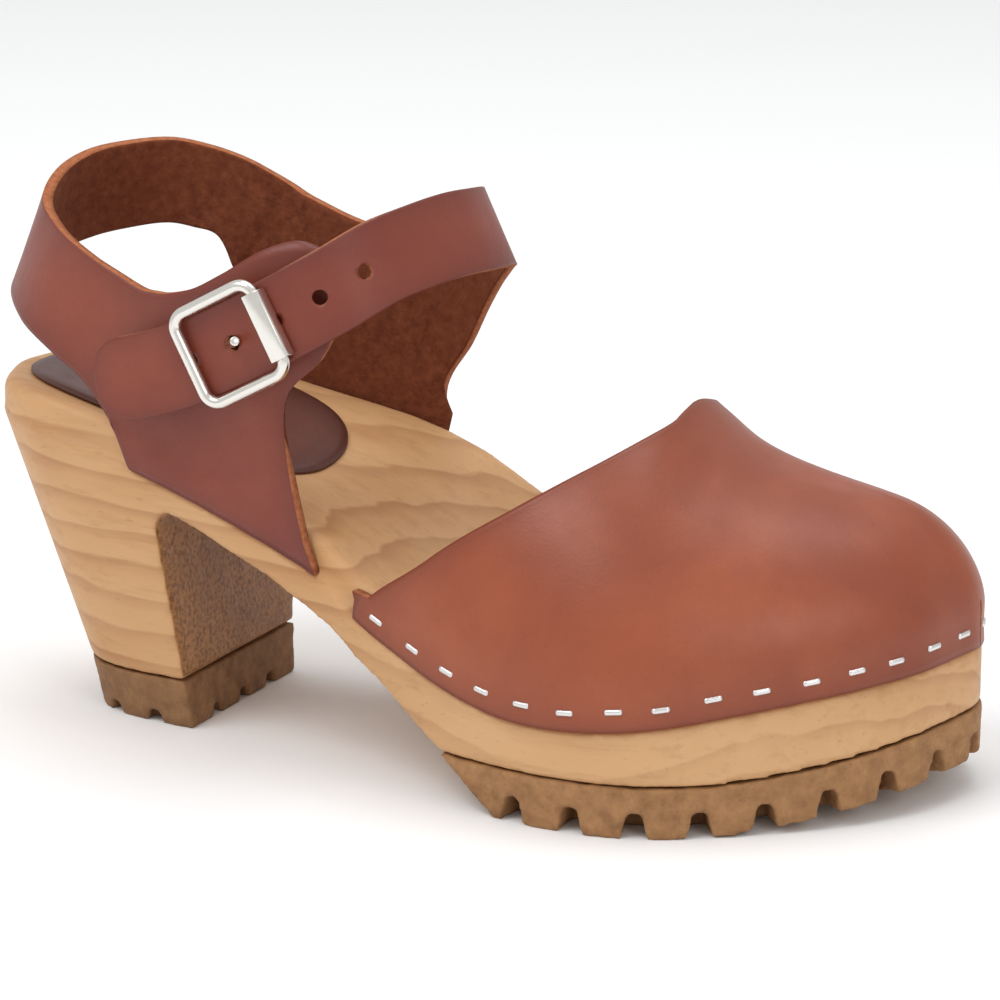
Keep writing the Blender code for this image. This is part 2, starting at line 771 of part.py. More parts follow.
def vamp(leather):
    """A closed toe cap of one leather, flared a little at its throat, open at the back and below."""
    plan = offset_plan(PROUD)
    toe = float(plan[:, 0].max())
    points = []
    faces = []
    peak = THROAT_PEAK + toe_fan(THROAT_PEAK)
    for side in (0, 1):
        start = len(points)
        for row in range(-VAMP_BAND_ROWS, VAMP_ROWS + 1):
            up = row / VAMP_ROWS if row > 0 else row / VAMP_BAND_ROWS
            corner = THROAT_CORNERS[side]
            back = corner + (peak - corner) * float(follow(up, THROAT, 1 + side))
            for column in range(VAMP_COLUMNS + 1):
                along = back + (toe - back) * math.sin(math.pi / 2 * column / VAMP_COLUMNS)
                x, y, z = vamp_surface(plan, side, along, max(up, 0))
                if row < 0:
                    low = float(ledge(min(along, LENGTH), side)) + FIT
                    z = low + (z - low) * (row + VAMP_BAND_ROWS) / VAMP_BAND_ROWS
                points.append((x, y, z))
        width = VAMP_COLUMNS + 1
        for i in range(VAMP_ROWS + VAMP_BAND_ROWS):
            for j in range(VAMP_COLUMNS):
                a = start + i * width + j
                faces.append((a, a + 1, a + width + 1, a + width))
    return leather_shell("vamp", points, faces, leather)


def strip_lower(place, ahead, width, lean):
    """Lower edge of the strip below one place on its top edge, where its outer face leans up by degrees."""
    outward = Vector((-ahead[1], ahead[0], 0)).normalized()
    tilt = math.radians(lean)
    face = outward * math.cos(tilt) + Vector((0, 0, 1)) * math.sin(tilt)
    down = Vector(ahead).cross(face).normalized()
    if down.z > 0:
        down.negate()
    return place + down * (width * STRAP_WIDTH)


def ankle_rows():
    """Top and lower edge of the strip, station by station, with how firmly each is seated on the wood."""
    plan = offset_plan(PROUD)
    top = [Vector((row[0] * LENGTH, row[1] * BALL_WIDTH, row[2] * ANKLE_TOP)) for row in STRIP]
    found = []
    for i, (_, _, _, width, lean, side, foot) in enumerate(STRIP):
        ahead = top[min(i + 1, len(top) - 1)] - top[max(i - 1, 0)]
        if foot is None:
            low = strip_lower(top[i], ahead, width, lean)
        else:
            x = foot * LENGTH
            low = Vector((x, float(edge_at(plan, side, x)), float(ledge(x, side)) + FIT))
        found.append((*top[i], *low, 0 if foot is None else 1))
    return found


def clear_of_wood(plan, x, y, z):
    """The point itself, or where it lies below the wood's rim, the nearest place against the rebate."""
    side = 0 if y < 0 else 1
    floor = float(ledge(x, side))
    if z > floor + RIM_HEIGHT + FIT:
        return x, y, z
    edge = float(edge_at(plan, side, x))
    return x, (min(y, edge) if side == 0 else max(y, edge)), max(z, floor + FIT)


def ankle_surface():
    """The strip's outer face: columns from the flag to the strap's tip, rows from its lower edge up."""
    rows = spline(ankle_rows(), False, STRIP_SPAN)
    plan_edge = offset_plan(PROUD)
    points = []
    ends = np.linalg.norm(np.diff((rows[:, :3] + rows[:, 3:6]) / 2, axis=0), axis=1)
    left = np.concatenate([np.cumsum(ends[::-1])[::-1], [0]])
    for i, row in enumerate(rows):
        high, low, seat = Vector(row[:3]), Vector(row[3:6]), min(max(row[6], 0), 1)
        middle = (high + low) / 2
        back = max(0, STRAP_TIP - left[i]) / STRAP_TIP
        narrow = max(math.sqrt(1 - back * back), STRAP_TIP_LEAST)
        high, low = middle + (high - middle) * narrow, middle + (low - middle) * narrow
        flag = max(0, 1 - i / (FLAG_REACH * STRIP_SPAN))
        for share in STRIP_SHARES:
            held = max(0, (share - SEAT_START) / (1 - SEAT_START))
            held = (float(smoothstep(held, 0, 1)) + held) / 2
            plan = seat * held + (1 - seat) * share
            x = low.x + (high.x - low.x) * share
            y = low.y + (high.y - low.y) * plan
            z = low.z + (high.z - low.z) * share
            x += flag * STRAP_WIDTH * float(follow(share, FLAG_EDGE, 1))
            points.append(clear_of_wood(plan_edge, x, y, z))
    count = len(STRIP_SHARES)
    faces = []
    for i in range(len(rows) - 1):
        for j in range(count - 1):
            a = i * count + j
            faces.append((a, a + count, a + count + 1, a + 1))
    return points, faces


def strap_middle():
    """The middle of the outer strap from over the instep to its tip, with the way across it, upwards."""
    rows = spline(ankle_rows(), False, 8)
    instep = int(np.argmax(rows[:, 0] * (rows[:, 6] <= 0)))
    rows = rows[instep:]
    return (rows[:, :3] + rows[:, 3:6]) / 2, rows[:, :3] - rows[:, 3:6]


def strap_frame(run):
    """Place and turn of the strap's outer face at a run from the buckle: X ahead, Y up, Z out."""
    middle, across = strap_middle()
    step = np.linalg.norm(np.diff(middle, axis=0), axis=1)
    length = np.concatenate([[0], np.cumsum(step)])
    order = np.argsort(middle[:, 0])
    centre = np.interp(BUCKLE_ALONG, middle[order, 0], length[order])
    at = centre - run
    place = Vector([np.interp(at, length, middle[:, k]) for k in range(3)])
    ahead = Vector([np.interp(at - REACH, length, middle[:, k]) for k in range(3)]) - place
    ahead.normalize()
    up = Vector([np.interp(at, length, across[:, k]) for k in range(3)])
    up = (up - ahead * up.dot(ahead)).normalized()
    out = ahead.cross(up)
    turn = Matrix((ahead, up, out)).transposed().to_4x4()
    return Matrix.Translation(place) @ turn


def prism(profile, low, high, place=None):
    """Points and faces of an outline in X and Y drawn out between two Z heights."""
    place = place or Matrix.Identity(4)
    count = len(profile)
    points = [tuple(place @ Vector((x, y, z))) for z in (low, high) for x, y in profile]
    faces = [tuple(range(count)), tuple(range(count, 2 * count))]
    for i in range(count):
        after = (i + 1) % count
        faces.append((i, after, after + count, i + count))
    return points, faces


def circle(radius, sides=14):
    turns = np.linspace(0, 2 * math.pi, sides, endpoint=False)
    return [(radius * math.cos(turn), radius * math.sin(turn)) for turn in turns]


def ankle_strip(leather):
    """The ankle leather with its row of punched holes."""
    strip = leather_shell("ankle_strip", *ankle_surface(), leather)
    points = []
    faces = []
    for place in range(-HOLES_BEHIND, HOLES_AHEAD + 1):
        turn = strap_frame(place * HOLE_PITCH)
        more, sides = prism(circle(HOLE / 2), -LEATHER - FIT, LEATHER, turn)
        faces += [tuple(len(points) + i for i in side) for side in sides]
        points += more
    cut_with(strip, cutter_object("cut_strap_holes", points, faces))
    return strip


def rounded_square(size, corner, steps=5):
    """Corner points of a square with round corners, anticlockwise."""
    flat = size / 2 - corner
    found = []
    for quarter, (x, y) in enumerate(((1, 1), (-1, 1), (-1, -1), (1, -1))):
        for turn in np.linspace(0, math.pi / 2, steps):
            angle = turn + quarter * math.pi / 2
            found.append((x * flat + corner * math.cos(angle), y * flat + corner * math.sin(angle)))
    return found


def buckle_frame(nickel):
    """A square ring of round wire lying on the strap."""
    data = bpy.data.curves.new("buckle_frame", "CURVE")
    data.dimensions = "3D"
    data.bevel_depth = WIRE / 2
    data.bevel_resolution = 3
    outline = rounded_square(BUCKLE, BUCKLE_CORNER)
    spline_data = data.splines.new("POLY")
    spline_data.points.add(len(outline) - 1)
    spline_data.use_cyclic_u = True
    for point, (x, y) in zip(spline_data.points, outline):
        point.co = (x, y, 0, 1)
    frame = new_object("buckle_frame", data, nickel)
    frame.matrix_world = strap_frame(0) @ Matrix.Translation((0, 0, WIRE_HEIGHT))
    return frame


def buckle_sleeve(nickel):
    """A folded sheet round the frame's front bar, open toward the strap."""
    inner = WIRE / 2 + FIT
    outer = SLEEVE_WIDTH / 2
    low = -WIRE / 2
    roof = inner + SLEEVE_SHEET
    half = [(outer, roof), (outer, low), (inner, low), (inner, inner)]
    outline = half + [(-x, y) for x, y in reversed(half)]
    points, faces = prism(outline, -SLEEVE_LENGTH / 2, SLEEVE_LENGTH / 2)
    points = [(x, z, y) for x, y, z in points]
    sleeve = new_object("buckle_sleeve", mesh_from("buckle_sleeve", points, faces), nickel)
    sleeve.data.shade_flat()
    sleeve.matrix_world = strap_frame(0) @ Matrix.Translation((BUCKLE / 2, 0, WIRE_HEIGHT))
    return sleeve


def buckle_plate(nickel):
    """The plate between flag and strap, its two ears up to the frame, and the hooked prong."""
    floor = -LEATHER - PLATE_GAP - PLATE
    ear_in = STRAP_WIDTH / 2 + FIT * 2
    ear_out = BUCKLE / 2 + WIRE / 2
    half = [(ear_out, floor), (ear_out, 0), (ear_in, 0), (ear_in, floor + PLATE)]
    outline = half + [(-x, y) for x, y in reversed(half)]
    points, faces = prism(outline, -PLATE_WIDTH / 2, PLATE_WIDTH / 2)
    points = [(z, x, y) for x, y, z in points]
    plate = new_object("buckle_plate", mesh_from("buckle_plate", points, faces), nickel)
    plate.data.shade_flat()
    lean = Matrix.Rotation(math.radians(PRONG_LEAN), 4, "Y")
    root = Matrix.Translation((0, 0, floor + PLATE / 2))
    prong_points, prong_faces = prism(circle(PRONG / 2), 0, PRONG_RISE, root)
    prong = cutter_object("join_prong", prong_points, prong_faces)
    hook = Matrix.Translation((0, 0, floor + PLATE / 2 + PRONG_RISE - PRONG_JOIN)) @ lean
    hook_points, hook_faces = prism(circle(PRONG / 2), 0, PRONG_TIP, hook)
    tip = cutter_object("join_hook", hook_points, hook_faces)
    for joined in (prong, tip):
        modifier = plate.modifiers.new("join " + joined.name, "BOOLEAN")
        modifier.object = joined
        modifier.operation = "UNION"
        modifier.solver = "EXACT"
    place = strap_frame(0)
    for thing in (plate, prong, tip):
        thing.matrix_world = place
    return plate


def leather_shell(name, points, faces, leather):
    """A sheet of leather: the given outer face, thickened inwards."""
    mesh = mesh_from(name, points, faces)
    middle = np.mean([vertex.co for vertex in mesh.vertices], axis=0)
    outward = sum((face.center - Vector(middle)).dot(face.normal) * face.area for face in mesh.polygons)
    if outward < 0:
        mesh.flip_normals()
    thing = new_object(name, mesh, leather)
    shell = thing.modifiers.new("leather", "SOLIDIFY")
    shell.thickness = LEATHER
    shell.offset = -1
    shell.use_even_offset = True
    shell.use_rim = True
    return thing


def main():
    for thing in list(bpy.data.objects):
        bpy.data.objects.remove(thing)
    wood = material("alder wood", (0.55, 0.34, 0.17), 0.55)
    rubber = material("crepe rubber", (0.28, 0.17, 0.09), 0.8)
    tan = material("tan leather", (0.24, 0.055, 0.025), 0.42)
    brown = material("pad leather", (0.12, 0.045, 0.02), 0.5)
    nickel = material("nickel", (0.75, 0.72, 0.67), 0.2, 1.0)
    arch = arch_cutter()
    wooden_sole(wood, arch)
    outsole(rubber, arch)
    heel_piece(rubber, arch)
    heel_pad(brown)
    vamp(tan)
    ankle_strip(tan)
    buckle_frame(nickel)
    buckle_sleeve(nickel)
    buckle_plate(nickel)
    root = bpy.data.objects.new("clog", None)
    bpy.context.scene.collection.objects.link(root)
    for thing in bpy.data.objects:
        if thing is not root:
            thing.parent = root
    root.location = (-LENGTH / 2, 0, 0)


main()
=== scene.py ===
"""The clog's looks: fine wood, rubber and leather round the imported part, staples, buckle and studio."""

import math
import random

from functools import lru_cache

import bmesh
import bpy
import numpy as np
from mathutils import Matrix, Vector, noise


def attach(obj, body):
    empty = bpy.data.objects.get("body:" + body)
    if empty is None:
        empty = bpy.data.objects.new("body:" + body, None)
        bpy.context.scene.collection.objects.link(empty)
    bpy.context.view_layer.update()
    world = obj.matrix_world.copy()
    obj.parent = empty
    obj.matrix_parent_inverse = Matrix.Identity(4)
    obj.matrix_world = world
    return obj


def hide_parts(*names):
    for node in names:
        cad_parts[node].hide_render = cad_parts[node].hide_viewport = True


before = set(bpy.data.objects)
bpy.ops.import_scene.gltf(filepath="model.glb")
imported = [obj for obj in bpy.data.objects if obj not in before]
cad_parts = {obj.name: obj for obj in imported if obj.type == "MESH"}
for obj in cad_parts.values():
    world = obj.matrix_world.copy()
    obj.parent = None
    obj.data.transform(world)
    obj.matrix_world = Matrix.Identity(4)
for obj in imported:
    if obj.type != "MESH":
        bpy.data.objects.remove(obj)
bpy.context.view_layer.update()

MM = 0.001

# Sizes of the sole
LENGTH = 231.5 * MM
BALL_WIDTH = 95 * MM
HEEL_LEDGE = 68.5 * MM
PLATFORM_LEDGE = 22 * MM
TOE_LEDGE_RISE = 10.5 * MM
RIM_HEIGHT = 8.5 * MM
FOOTBED_DISH = 3 * MM
DISH_SPREAD = 1.4
PLAN_FINE = 24

# Heel block and shank
HEEL_CENTRE = 3.6 * MM


# Leather
LEATHER = 2.4 * MM
PAD = 1.2 * MM
PAD_BACK = 6.5 * MM
PAD_LENGTH = 76 * MM
PAD_WIDTH = 48 * MM
PAD_POWER = 2.3
FIT = 0.3 * MM
REBATE = 2.2 * MM
PROUD = LEATHER + FIT - REBATE
VAMP_HEIGHT = 60 * MM
VAMP_LAP = 0.5 * MM
TOE_FAN = 23 * MM
TOE_FAN_START = 0.63
TOE_POWER_START = 0.72
TOE_POWER_END = 0.97
ARCH_POWER = 1.8
TOE_POWER = 1.75
THROAT_PEAK = 169.5 * MM
THROAT_CORNERS = (106.2 * MM, 124 * MM)
ANKLE_TOP = 125 * MM
STRAP_WIDTH = 18.5 * MM
STRAP_TIP = 9 * MM
STRAP_TIP_LEAST = 0.3
SEAT_START = 0.14

# Buckle
BUCKLE = 21 * MM
BUCKLE_ALONG = 79.5 * MM
BUCKLE_CORNER = 3.5 * MM
WIRE = 2.7 * MM
SLEEVE_WIDTH = 4.6 * MM
SLEEVE_LENGTH = 15.5 * MM
SLEEVE_SHEET = 0.6 * MM
PLATE = 0.9 * MM
PLATE_GAP = 0.9 * MM
PLATE_WIDTH = 7 * MM
PRONG = 2.1 * MM
PRONG_RISE = 4.7 * MM
PRONG_LEAN = 38
PRONG_TIP = 4.6 * MM
PRONG_JOIN = 0.8 * MM
HOLE = 3.4 * MM
HOLE_PITCH = 11.3 * MM
REACH = 4 * MM
HOLES_BEHIND = 1
HOLES_AHEAD = 3
WIRE_HEIGHT = FIT + WIRE / 2

# Plan of the sole, from the heel round the lateral side to the toe and back.
# Shares: along of the length, across of the ball width
OUTLINE = (
    # along, across
    (0.000, 0.055),
    (0.011, -0.071),
    (0.037, -0.187),
    (0.080, -0.260),
    (0.140, -0.297),
    (0.226, -0.316),
    (0.330, -0.327),
    (0.416, -0.345),
    (0.494, -0.382),
    (0.571, -0.445),
    (0.649, -0.490),
    (0.718, -0.499),
    (0.778, -0.466),
    (0.834, -0.387),
    (0.886, -0.292),
    (0.933, -0.187),
    (0.972, -0.060),
    (0.991, 0.066),
    (1.000, 0.150),
    (0.991, 0.240),
    (0.968, 0.340),
    (0.925, 0.424),
    (0.864, 0.476),
    (0.787, 0.499),
    (0.700, 0.490),
    (0.614, 0.455),
    (0.528, 0.418),
    (0.433, 0.392),
    (0.330, 0.387),
    (0.226, 0.392),
    (0.140, 0.376),
    (0.071, 0.324),
    (0.024, 0.218),
)

# Ledge under the leather's edge: its fall from heel height (1) to platform height (0), each side
FALL = (
    # along, lateral, medial
    (0.000, 1.000, 1.000),
    (0.070, 0.990, 0.990),
    (0.140, 0.938, 0.957),
    (0.200, 0.865, 0.914),
    (0.270, 0.753, 0.850),
    (0.347, 0.609, 0.785),
    (0.399, 0.505, 0.728),
    (0.433, 0.420, 0.665),
    (0.459, 0.300, 0.605),
    (0.502, 0.194, 0.465),
    (0.563, 0.086, 0.260),
    (0.631, 0.010, 0.075),
    (0.696, 0.000, 0.010),
    (0.760, 0.000, 0.000),
    (1.000, 0.000, 0.000),
)

# Lift toward the toe: of the ledge, and of the tread
LIFT = (
    # along, ledge, tread
    (0.700, 0.00, 0.00),
    (0.755, 0.10, 0.00),
    (0.804, 0.25, 0.00),
    (0.847, 0.42, 0.07),
    (0.890, 0.58, 0.25),
    (0.933, 0.74, 0.50),
    (0.976, 0.90, 0.83),
    (1.000, 1.00, 1.00),
)

# Crest of the vamp: height over the platform ledge as a share of the vamp's height
CREST = (
    # along, height, across
    (0.450, 1.34, 0.040),
    (0.530, 1.32, 0.040),
    (0.590, 1.27, 0.042),
    (0.650, 1.17, 0.046),
    (0.700, 1.08, 0.052),
    (0.730, 1.01, 0.056),
    (0.757, 0.910, 0.062),
    (0.782, 0.850, 0.070),
    (0.817, 0.793, 0.085),
    (0.869, 0.735, 0.110),
    (0.899, 0.710, 0.130),
)

# Throat edge: bottom edge (-1), top of the wood's rim (0), peak (1).
# Shares of the way from corner to peak
THROAT = (
    # up, lateral, medial
    (-1.0, 0.00, 0.00),
    (-0.5, 0.01, 0.01),
    (0.0, 0.065, 0.065),
    (0.2, 0.31, 0.31),
    (0.4, 0.607, 0.607),
    (0.6, 0.852, 0.852),
    (0.8, 0.985, 0.985),
    (1.0, 1.00, 1.00),
)

# One strip round the ankle by its top edge: from the buckle's flag back round the heel and over the instep.
# Shares: along of the length, across of the ball width, top of the ankle's height, width of the strap's.
# Lean is how far its face tips up, in degrees. Where the strip is stapled to the wood, side and foot
# give the place that its lower edge reaches.
STRIP = (
    # along, across, top, width, lean, side, foot
    (0.416, -0.280, 0.926, None, 0, 0, 0.415),
    (0.394, -0.300, 0.934, None, 0, 0, 0.392),
    (0.360, -0.322, 0.914, None, 0, 0, 0.355),
    (0.322, -0.335, 0.873, None, 0, 0, 0.310),
    (0.287, -0.330, 0.838, None, 0, 0, 0.262),
    (0.257, -0.322, 0.822, None, 0, 0, 0.222),
    (0.240, -0.316, 0.820, None, 0, 0, 0.209),
    (0.222, -0.308, 0.823, 1.75, 4, None, None),
    (0.190, -0.285, 0.842, 1.42, 8, None, None),
    (0.150, -0.250, 0.866, 1.32, 13, None, None),
    (0.103, -0.185, 0.896, 1.27, 18, None, None),
    (0.060, -0.080, 0.930, 1.26, 20, None, None),
    (0.044, 0.050, 0.965, 1.25, 19, None, None),
    (0.051, 0.165, 0.988, 1.20, 16, None, None),
    (0.074, 0.260, 0.997, 1.14, 12, None, None),
    (0.110, 0.330, 1.000, 1.10, 8, None, None),
    (0.150, 0.362, 0.986, 1.08, 5, None, None),
    (0.186, 0.376, 0.966, 1.08, 3, None, None),
    (0.215, 0.390, 0.940, 1.35, 2, None, None),
    (0.236, 0.397, 0.920, 1.95, 1, None, None),
    (0.252, 0.392, 0.906, None, 0, 1, 0.245),
    (0.268, 0.392, 0.894, None, 0, 1, 0.262),
    (0.300, 0.392, 0.872, None, 0, 1, 0.305),
    (0.335, 0.390, 0.856, None, 0, 1, 0.360),
    (0.364, 0.388, 0.850, None, 0, 1, 0.404),
    (0.384, 0.386, 0.852, 1.95, 3, None, None),
    (0.398, 0.378, 0.858, 1.45, 5, None, None),
    (0.414, 0.364, 0.872, 1.12, 9, None, None),
    (0.436, 0.338, 0.904, 1.00, 14, None, None),
    (0.463, 0.284, 0.950, 1.00, 20, None, None),
    (0.486, 0.190, 0.979, 1.00, 25, None, None),
    (0.493, 0.080, 0.992, 1.00, 25, None, None),
    (0.486, -0.030, 0.996, 1.00, 24, None, None),
    (0.472, -0.145, 0.988, 1.00, 22, None, None),
    (0.453, -0.258, 0.970, 1.00, 16, None, None),
    (0.422, -0.346, 0.930, 1.00, 9, None, None),
    (0.376, -0.388, 0.880, 1.00, 4, None, None),
    (0.322, -0.398, 0.824, 1.00, 2, None, None),
    (0.266, -0.398, 0.777, 1.00, 2, None, None),
    (0.222, -0.396, 0.750, 1.00, 2, None, None),
    (0.182, -0.388, 0.732, 1.00, 2, None, None),
)

# Front edge of the buckle's flag: how far it lies behind (-) or before its line.
# Shares of the strap's width
FLAG_EDGE = (
    # up, forward
    (0.00, 0.00),
    (0.14, -0.18),
    (0.37, -0.40),
    (0.48, -0.45),
    (0.56, -0.38),
    (0.64, -0.05),
    (0.74, 0.15),
    (0.85, 0.20),
    (0.95, 0.08),
    (1.00, -0.10),
)
FLAG_REACH = 3


def follow(at, rows, column):
    """A smooth, unkinked read of one column of a table at the given places of its first column."""
    x = np.array([row[0] for row in rows])
    y = np.array([row[column] for row in rows])
    at = np.clip(np.asarray(at, float), x[0], x[-1])
    rise = np.diff(y) / np.diff(x)
    slope = np.concatenate([[rise[0]], (rise[1:] + rise[:-1]) / 2, [rise[-1]]])
    turns = np.concatenate([[False], rise[1:] * rise[:-1] <= 0, [False]])
    slope[turns] = 0
    i = np.clip(np.searchsorted(x, at, side="right") - 1, 0, len(x) - 2)
    step = x[i + 1] - x[i]
    t = (at - x[i]) / step
    return (
        y[i] * (1 + 2 * t) * (1 - t) ** 2
        + slope[i] * step * t * (1 - t) ** 2
        + y[i + 1] * t**2 * (3 - 2 * t)
        + slope[i + 1] * step * t**2 * (t - 1)
    )


def spline(points, closed, per_span):
    """Points along a Catmull-Rom curve through the given ones."""
    points = np.asarray(points, float)
    count = len(points)
    spans = count if closed else count - 1
    out = []
    for i in range(spans):
        places = [i - 1, i, i + 1, i + 2]
        near = [points[k % count] if closed else points[min(max(k, 0), count - 1)] for k in places]
        for t in np.linspace(0, 1, per_span, endpoint=False):
            out.append(
                0.5
                * (
                    2 * near[1]
                    + (near[2] - near[0]) * t
                    + (2 * near[0] - 5 * near[1] + 4 * near[2] - near[3]) * t**2
                    + (3 * near[1] - near[0] - 3 * near[2] + near[3]) * t**3
                )
            )
    if not closed:
        out.append(points[-1])
    return np.array(out)


def smoothstep(x, start, end):
    """0 before the start, 1 past the end and an eased way between."""
    t = np.clip((np.asarray(x, float) - start) / (end - start), 0, 1)
    return t * t * (3 - 2 * t)


PLAN = spline([(along * LENGTH, across * BALL_WIDTH) for along, across in OUTLINE], True, PLAN_FINE)


def offset_plan(distance):
    """The plan moved outwards by a distance."""
    ahead = np.roll(PLAN, -1, axis=0) - np.roll(PLAN, 1, axis=0)
    ahead /= np.linalg.norm(ahead, axis=1)[:, None]
    outward = np.stack([ahead[:, 1], -ahead[:, 0]], 1)
    return PLAN + outward * distance


@lru_cache(None)
def half_plan(distance, side):
    """One half of the plan moved outwards by a distance, from heel to toe."""
    plan = offset_plan(distance)
    plan = np.roll(plan, -int(np.argmin(plan[:, 0])), axis=0)
    toe = int(np.argmax(plan[:, 0]))
    half = plan[: toe + 1] if side == 0 else np.concatenate([plan[toe:], plan[:1]])[::-1]
    return half[np.argsort(half[:, 0], kind="stable")]


def edge_at(distance, side, x):
    """Y of the edge at X on one side (0 lateral, 1 medial) of the plan moved outwards by a distance."""
    half = half_plan(distance, side)
    return np.interp(x, half[:, 0], half[:, 1])


def ledge(x, side):
    """Height of the ledge that carries the leather's edge."""
    share = x / LENGTH
    fall = follow(share, FALL, 1 + side)
    lift = TOE_LEDGE_RISE * follow(share, LIFT, 1)
    return PLATFORM_LEDGE + (HEEL_LEDGE - PLATFORM_LEDGE) * fall + lift


def footbed(x, y):
    """Height of the wood's top at a place in plan."""
    lateral = edge_at(0, 0, x)
    medial = edge_at(0, 1, x)
    share = np.clip((y - lateral) / np.maximum(medial - lateral, MM), 0, 1)
    low = ledge(x, 0) + RIM_HEIGHT
    high = ledge(x, 1) + RIM_HEIGHT
    width = (medial - lateral) / BALL_WIDTH
    mix = share * share * (3 - 2 * share)
    dish = 4 * share * (1 - share) * np.clip(width * DISH_SPREAD, 0, 1)
    return low + (high - low) * mix - FOOTBED_DISH * dish


def superellipse(angle, power):
    """Run in (0 to 1) and rise (0 to 1) of a rounded quarter arch."""
    return 1 - np.cos(angle) ** (2 / power), np.sin(angle) ** (2 / power)


def toe_fan(x):
    """How far behind its bottom edge the vamp's crest lies."""
    share = np.maximum((x / LENGTH - TOE_FAN_START) / (1 - TOE_FAN_START), 0)
    return TOE_FAN * share**2


def vamp_surface(side, along, up):
    """Points on the vamp's outer face: along its bottom edge, and up (0 to 1) over to the crest."""
    y = edge_at(PROUD, side, along)
    crest_x = along - toe_fan(along)
    crest_share = crest_x / LENGTH
    crest_z = PLATFORM_LEDGE + VAMP_HEIGHT * follow(crest_share, CREST, 1)
    crest_y = BALL_WIDTH * follow(crest_share, CREST, 2)
    low = ledge(np.minimum(along, LENGTH), side) + RIM_HEIGHT - VAMP_LAP
    toward_toe = smoothstep(along / LENGTH, TOE_POWER_START, TOE_POWER_END)
    power = ARCH_POWER + (TOE_POWER - ARCH_POWER) * toward_toe
    run, rise = superellipse(up * math.pi / 2, power)
    x = along + (crest_x - along) * run
    return np.stack([x, y + (crest_y - y) * run, low + (crest_z - low) * rise], 1)


def strip_lower(place, ahead, width, lean):
    """Lower edge of the strip below one place on its top edge, where its outer face leans up by degrees."""
    outward = Vector((-ahead[1], ahead[0], 0)).normalized()
    tilt = math.radians(lean)
    face = outward * math.cos(tilt) + Vector((0, 0, 1)) * math.sin(tilt)
    down = Vector(ahead).cross(face).normalized()
    if down.z > 0:
        down.negate()
    return place + down * (width * STRAP_WIDTH)


@lru_cache(None)
def ankle_rows():
    """Top and lower edge of the strip, station by station, with how firmly each is seated on the wood."""
    top = [Vector((row[0] * LENGTH, row[1] * BALL_WIDTH, row[2] * ANKLE_TOP)) for row in STRIP]
    found = []
    for i, (_, _, _, width, lean, side, foot) in enumerate(STRIP):
        ahead = top[min(i + 1, len(top) - 1)] - top[max(i - 1, 0)]
        if foot is None:
            low = strip_lower(top[i], ahead, width, lean)
        else:
            x = foot * LENGTH
            low = Vector((x, float(edge_at(PROUD, side, x)), float(ledge(x, side)) + FIT))
        found.append((*top[i], *low, 0 if foot is None else 1))
    return found


def clear_of_wood(points):
    """The points, with those that lie below the wood's rim moved out against the rebate."""
    for side, sign in ((0, -1), (1, 1)):
        floor = ledge(points[:, 0], side)
        below = (points[:, 1] * sign > 0) & (points[:, 2] <= floor + RIM_HEIGHT + FIT)
        edge = edge_at(PROUD, side, points[:, 0])
        outer = np.minimum(points[:, 1], edge) if side == 0 else np.maximum(points[:, 1], edge)
        points[:, 1] = np.where(below, outer, points[:, 1])
        points[:, 2] = np.where(below, np.maximum(points[:, 2], floor + FIT), points[:, 2])
    return points


def strap_middle():
    """The middle of the outer strap from over the instep to its tip, with the way across it, upwards."""
    rows = spline(ankle_rows(), False, STRIP_FINE)
    instep = int(np.argmax(rows[:, 0] * (rows[:, 6] <= 0)))
    rows = rows[instep:]
    return (rows[:, :3] + rows[:, 3:6]) / 2, rows[:, :3] - rows[:, 3:6]


def strap_frame(run):
    """Place and turn of the strap's outer face at a run from the buckle: X ahead, Y up, Z out."""
    middle, across = strap_middle()
    step = np.linalg.norm(np.diff(middle, axis=0), axis=1)
    length = np.concatenate([[0], np.cumsum(step)])
    order = np.argsort(middle[:, 0])
    centre = np.interp(BUCKLE_ALONG, middle[order, 0], length[order])
    at = centre - run
    place = Vector([np.interp(at, length, middle[:, k]) for k in range(3)])
    ahead = Vector([np.interp(at - REACH, length, middle[:, k]) for k in range(3)]) - place
    ahead.normalize()
    up = Vector([np.interp(at, length, across[:, k]) for k in range(3)])
    up = (up - ahead * up.dot(ahead)).normalized()
    out = ahead.cross(up)
    turn = Matrix((ahead, up, out)).transposed().to_4x4()
    return Matrix.Translation(place) @ turn


# Sizes that only the looks need
WOOD_VOXEL = 0.9 * MM
RUBBER_VOXEL = 0.6 * MM
RUBBER_ROUGH = 0.22 * MM
ROUGH_COARSE = 330
ROUGH_FINE = 1100
ROUGH_FINE_SHARE = 0.4
FLAT_BELOW = 0.6 * MM
WELD = 0.002 * MM
EASE_ROUNDS = 5
LEATHER_EASE_ROUNDS = 24
EASE_FACTOR = 0.5
VAMP_FINE = (44, 5, 110)
STRIP_FINE = 8
STRIP_FINE_ROWS = 30
PAD_FINE = (20, 110)
STAPLE_CROWN = 4.4 * MM
STAPLE_STEPS = 13
STAPLE_FLAT = 0.72
STAPLE_BEND = 2.6
STAPLE_SECTION = ((-1, -0.5), (-1, 0.35), (-0.6, 0.85), (0, 1), (0.6, 0.85), (1, 0.35), (1, -0.5))
STAPLE_WIDTH = 1.3 * MM
STAPLE_RISE = 0.55 * MM
STAPLE_LIFT = 4.3 * MM
STAPLE_PITCH = 10.2 * MM
STAPLE_FIRST = 6 * MM
STAPLE_WANDER = 0.6 * MM
STAPLE_LIFT_WANDER = 0.3 * MM
QUARTER_WANDER = 0.5 * MM
QUARTER_LOWER = 0.4 * MM
QUARTER_STAPLES = 5
QUARTER_LATERAL = (56 * MM, 91.4 * MM)
QUARTER_MEDIAL = (63 * MM, 92 * MM)
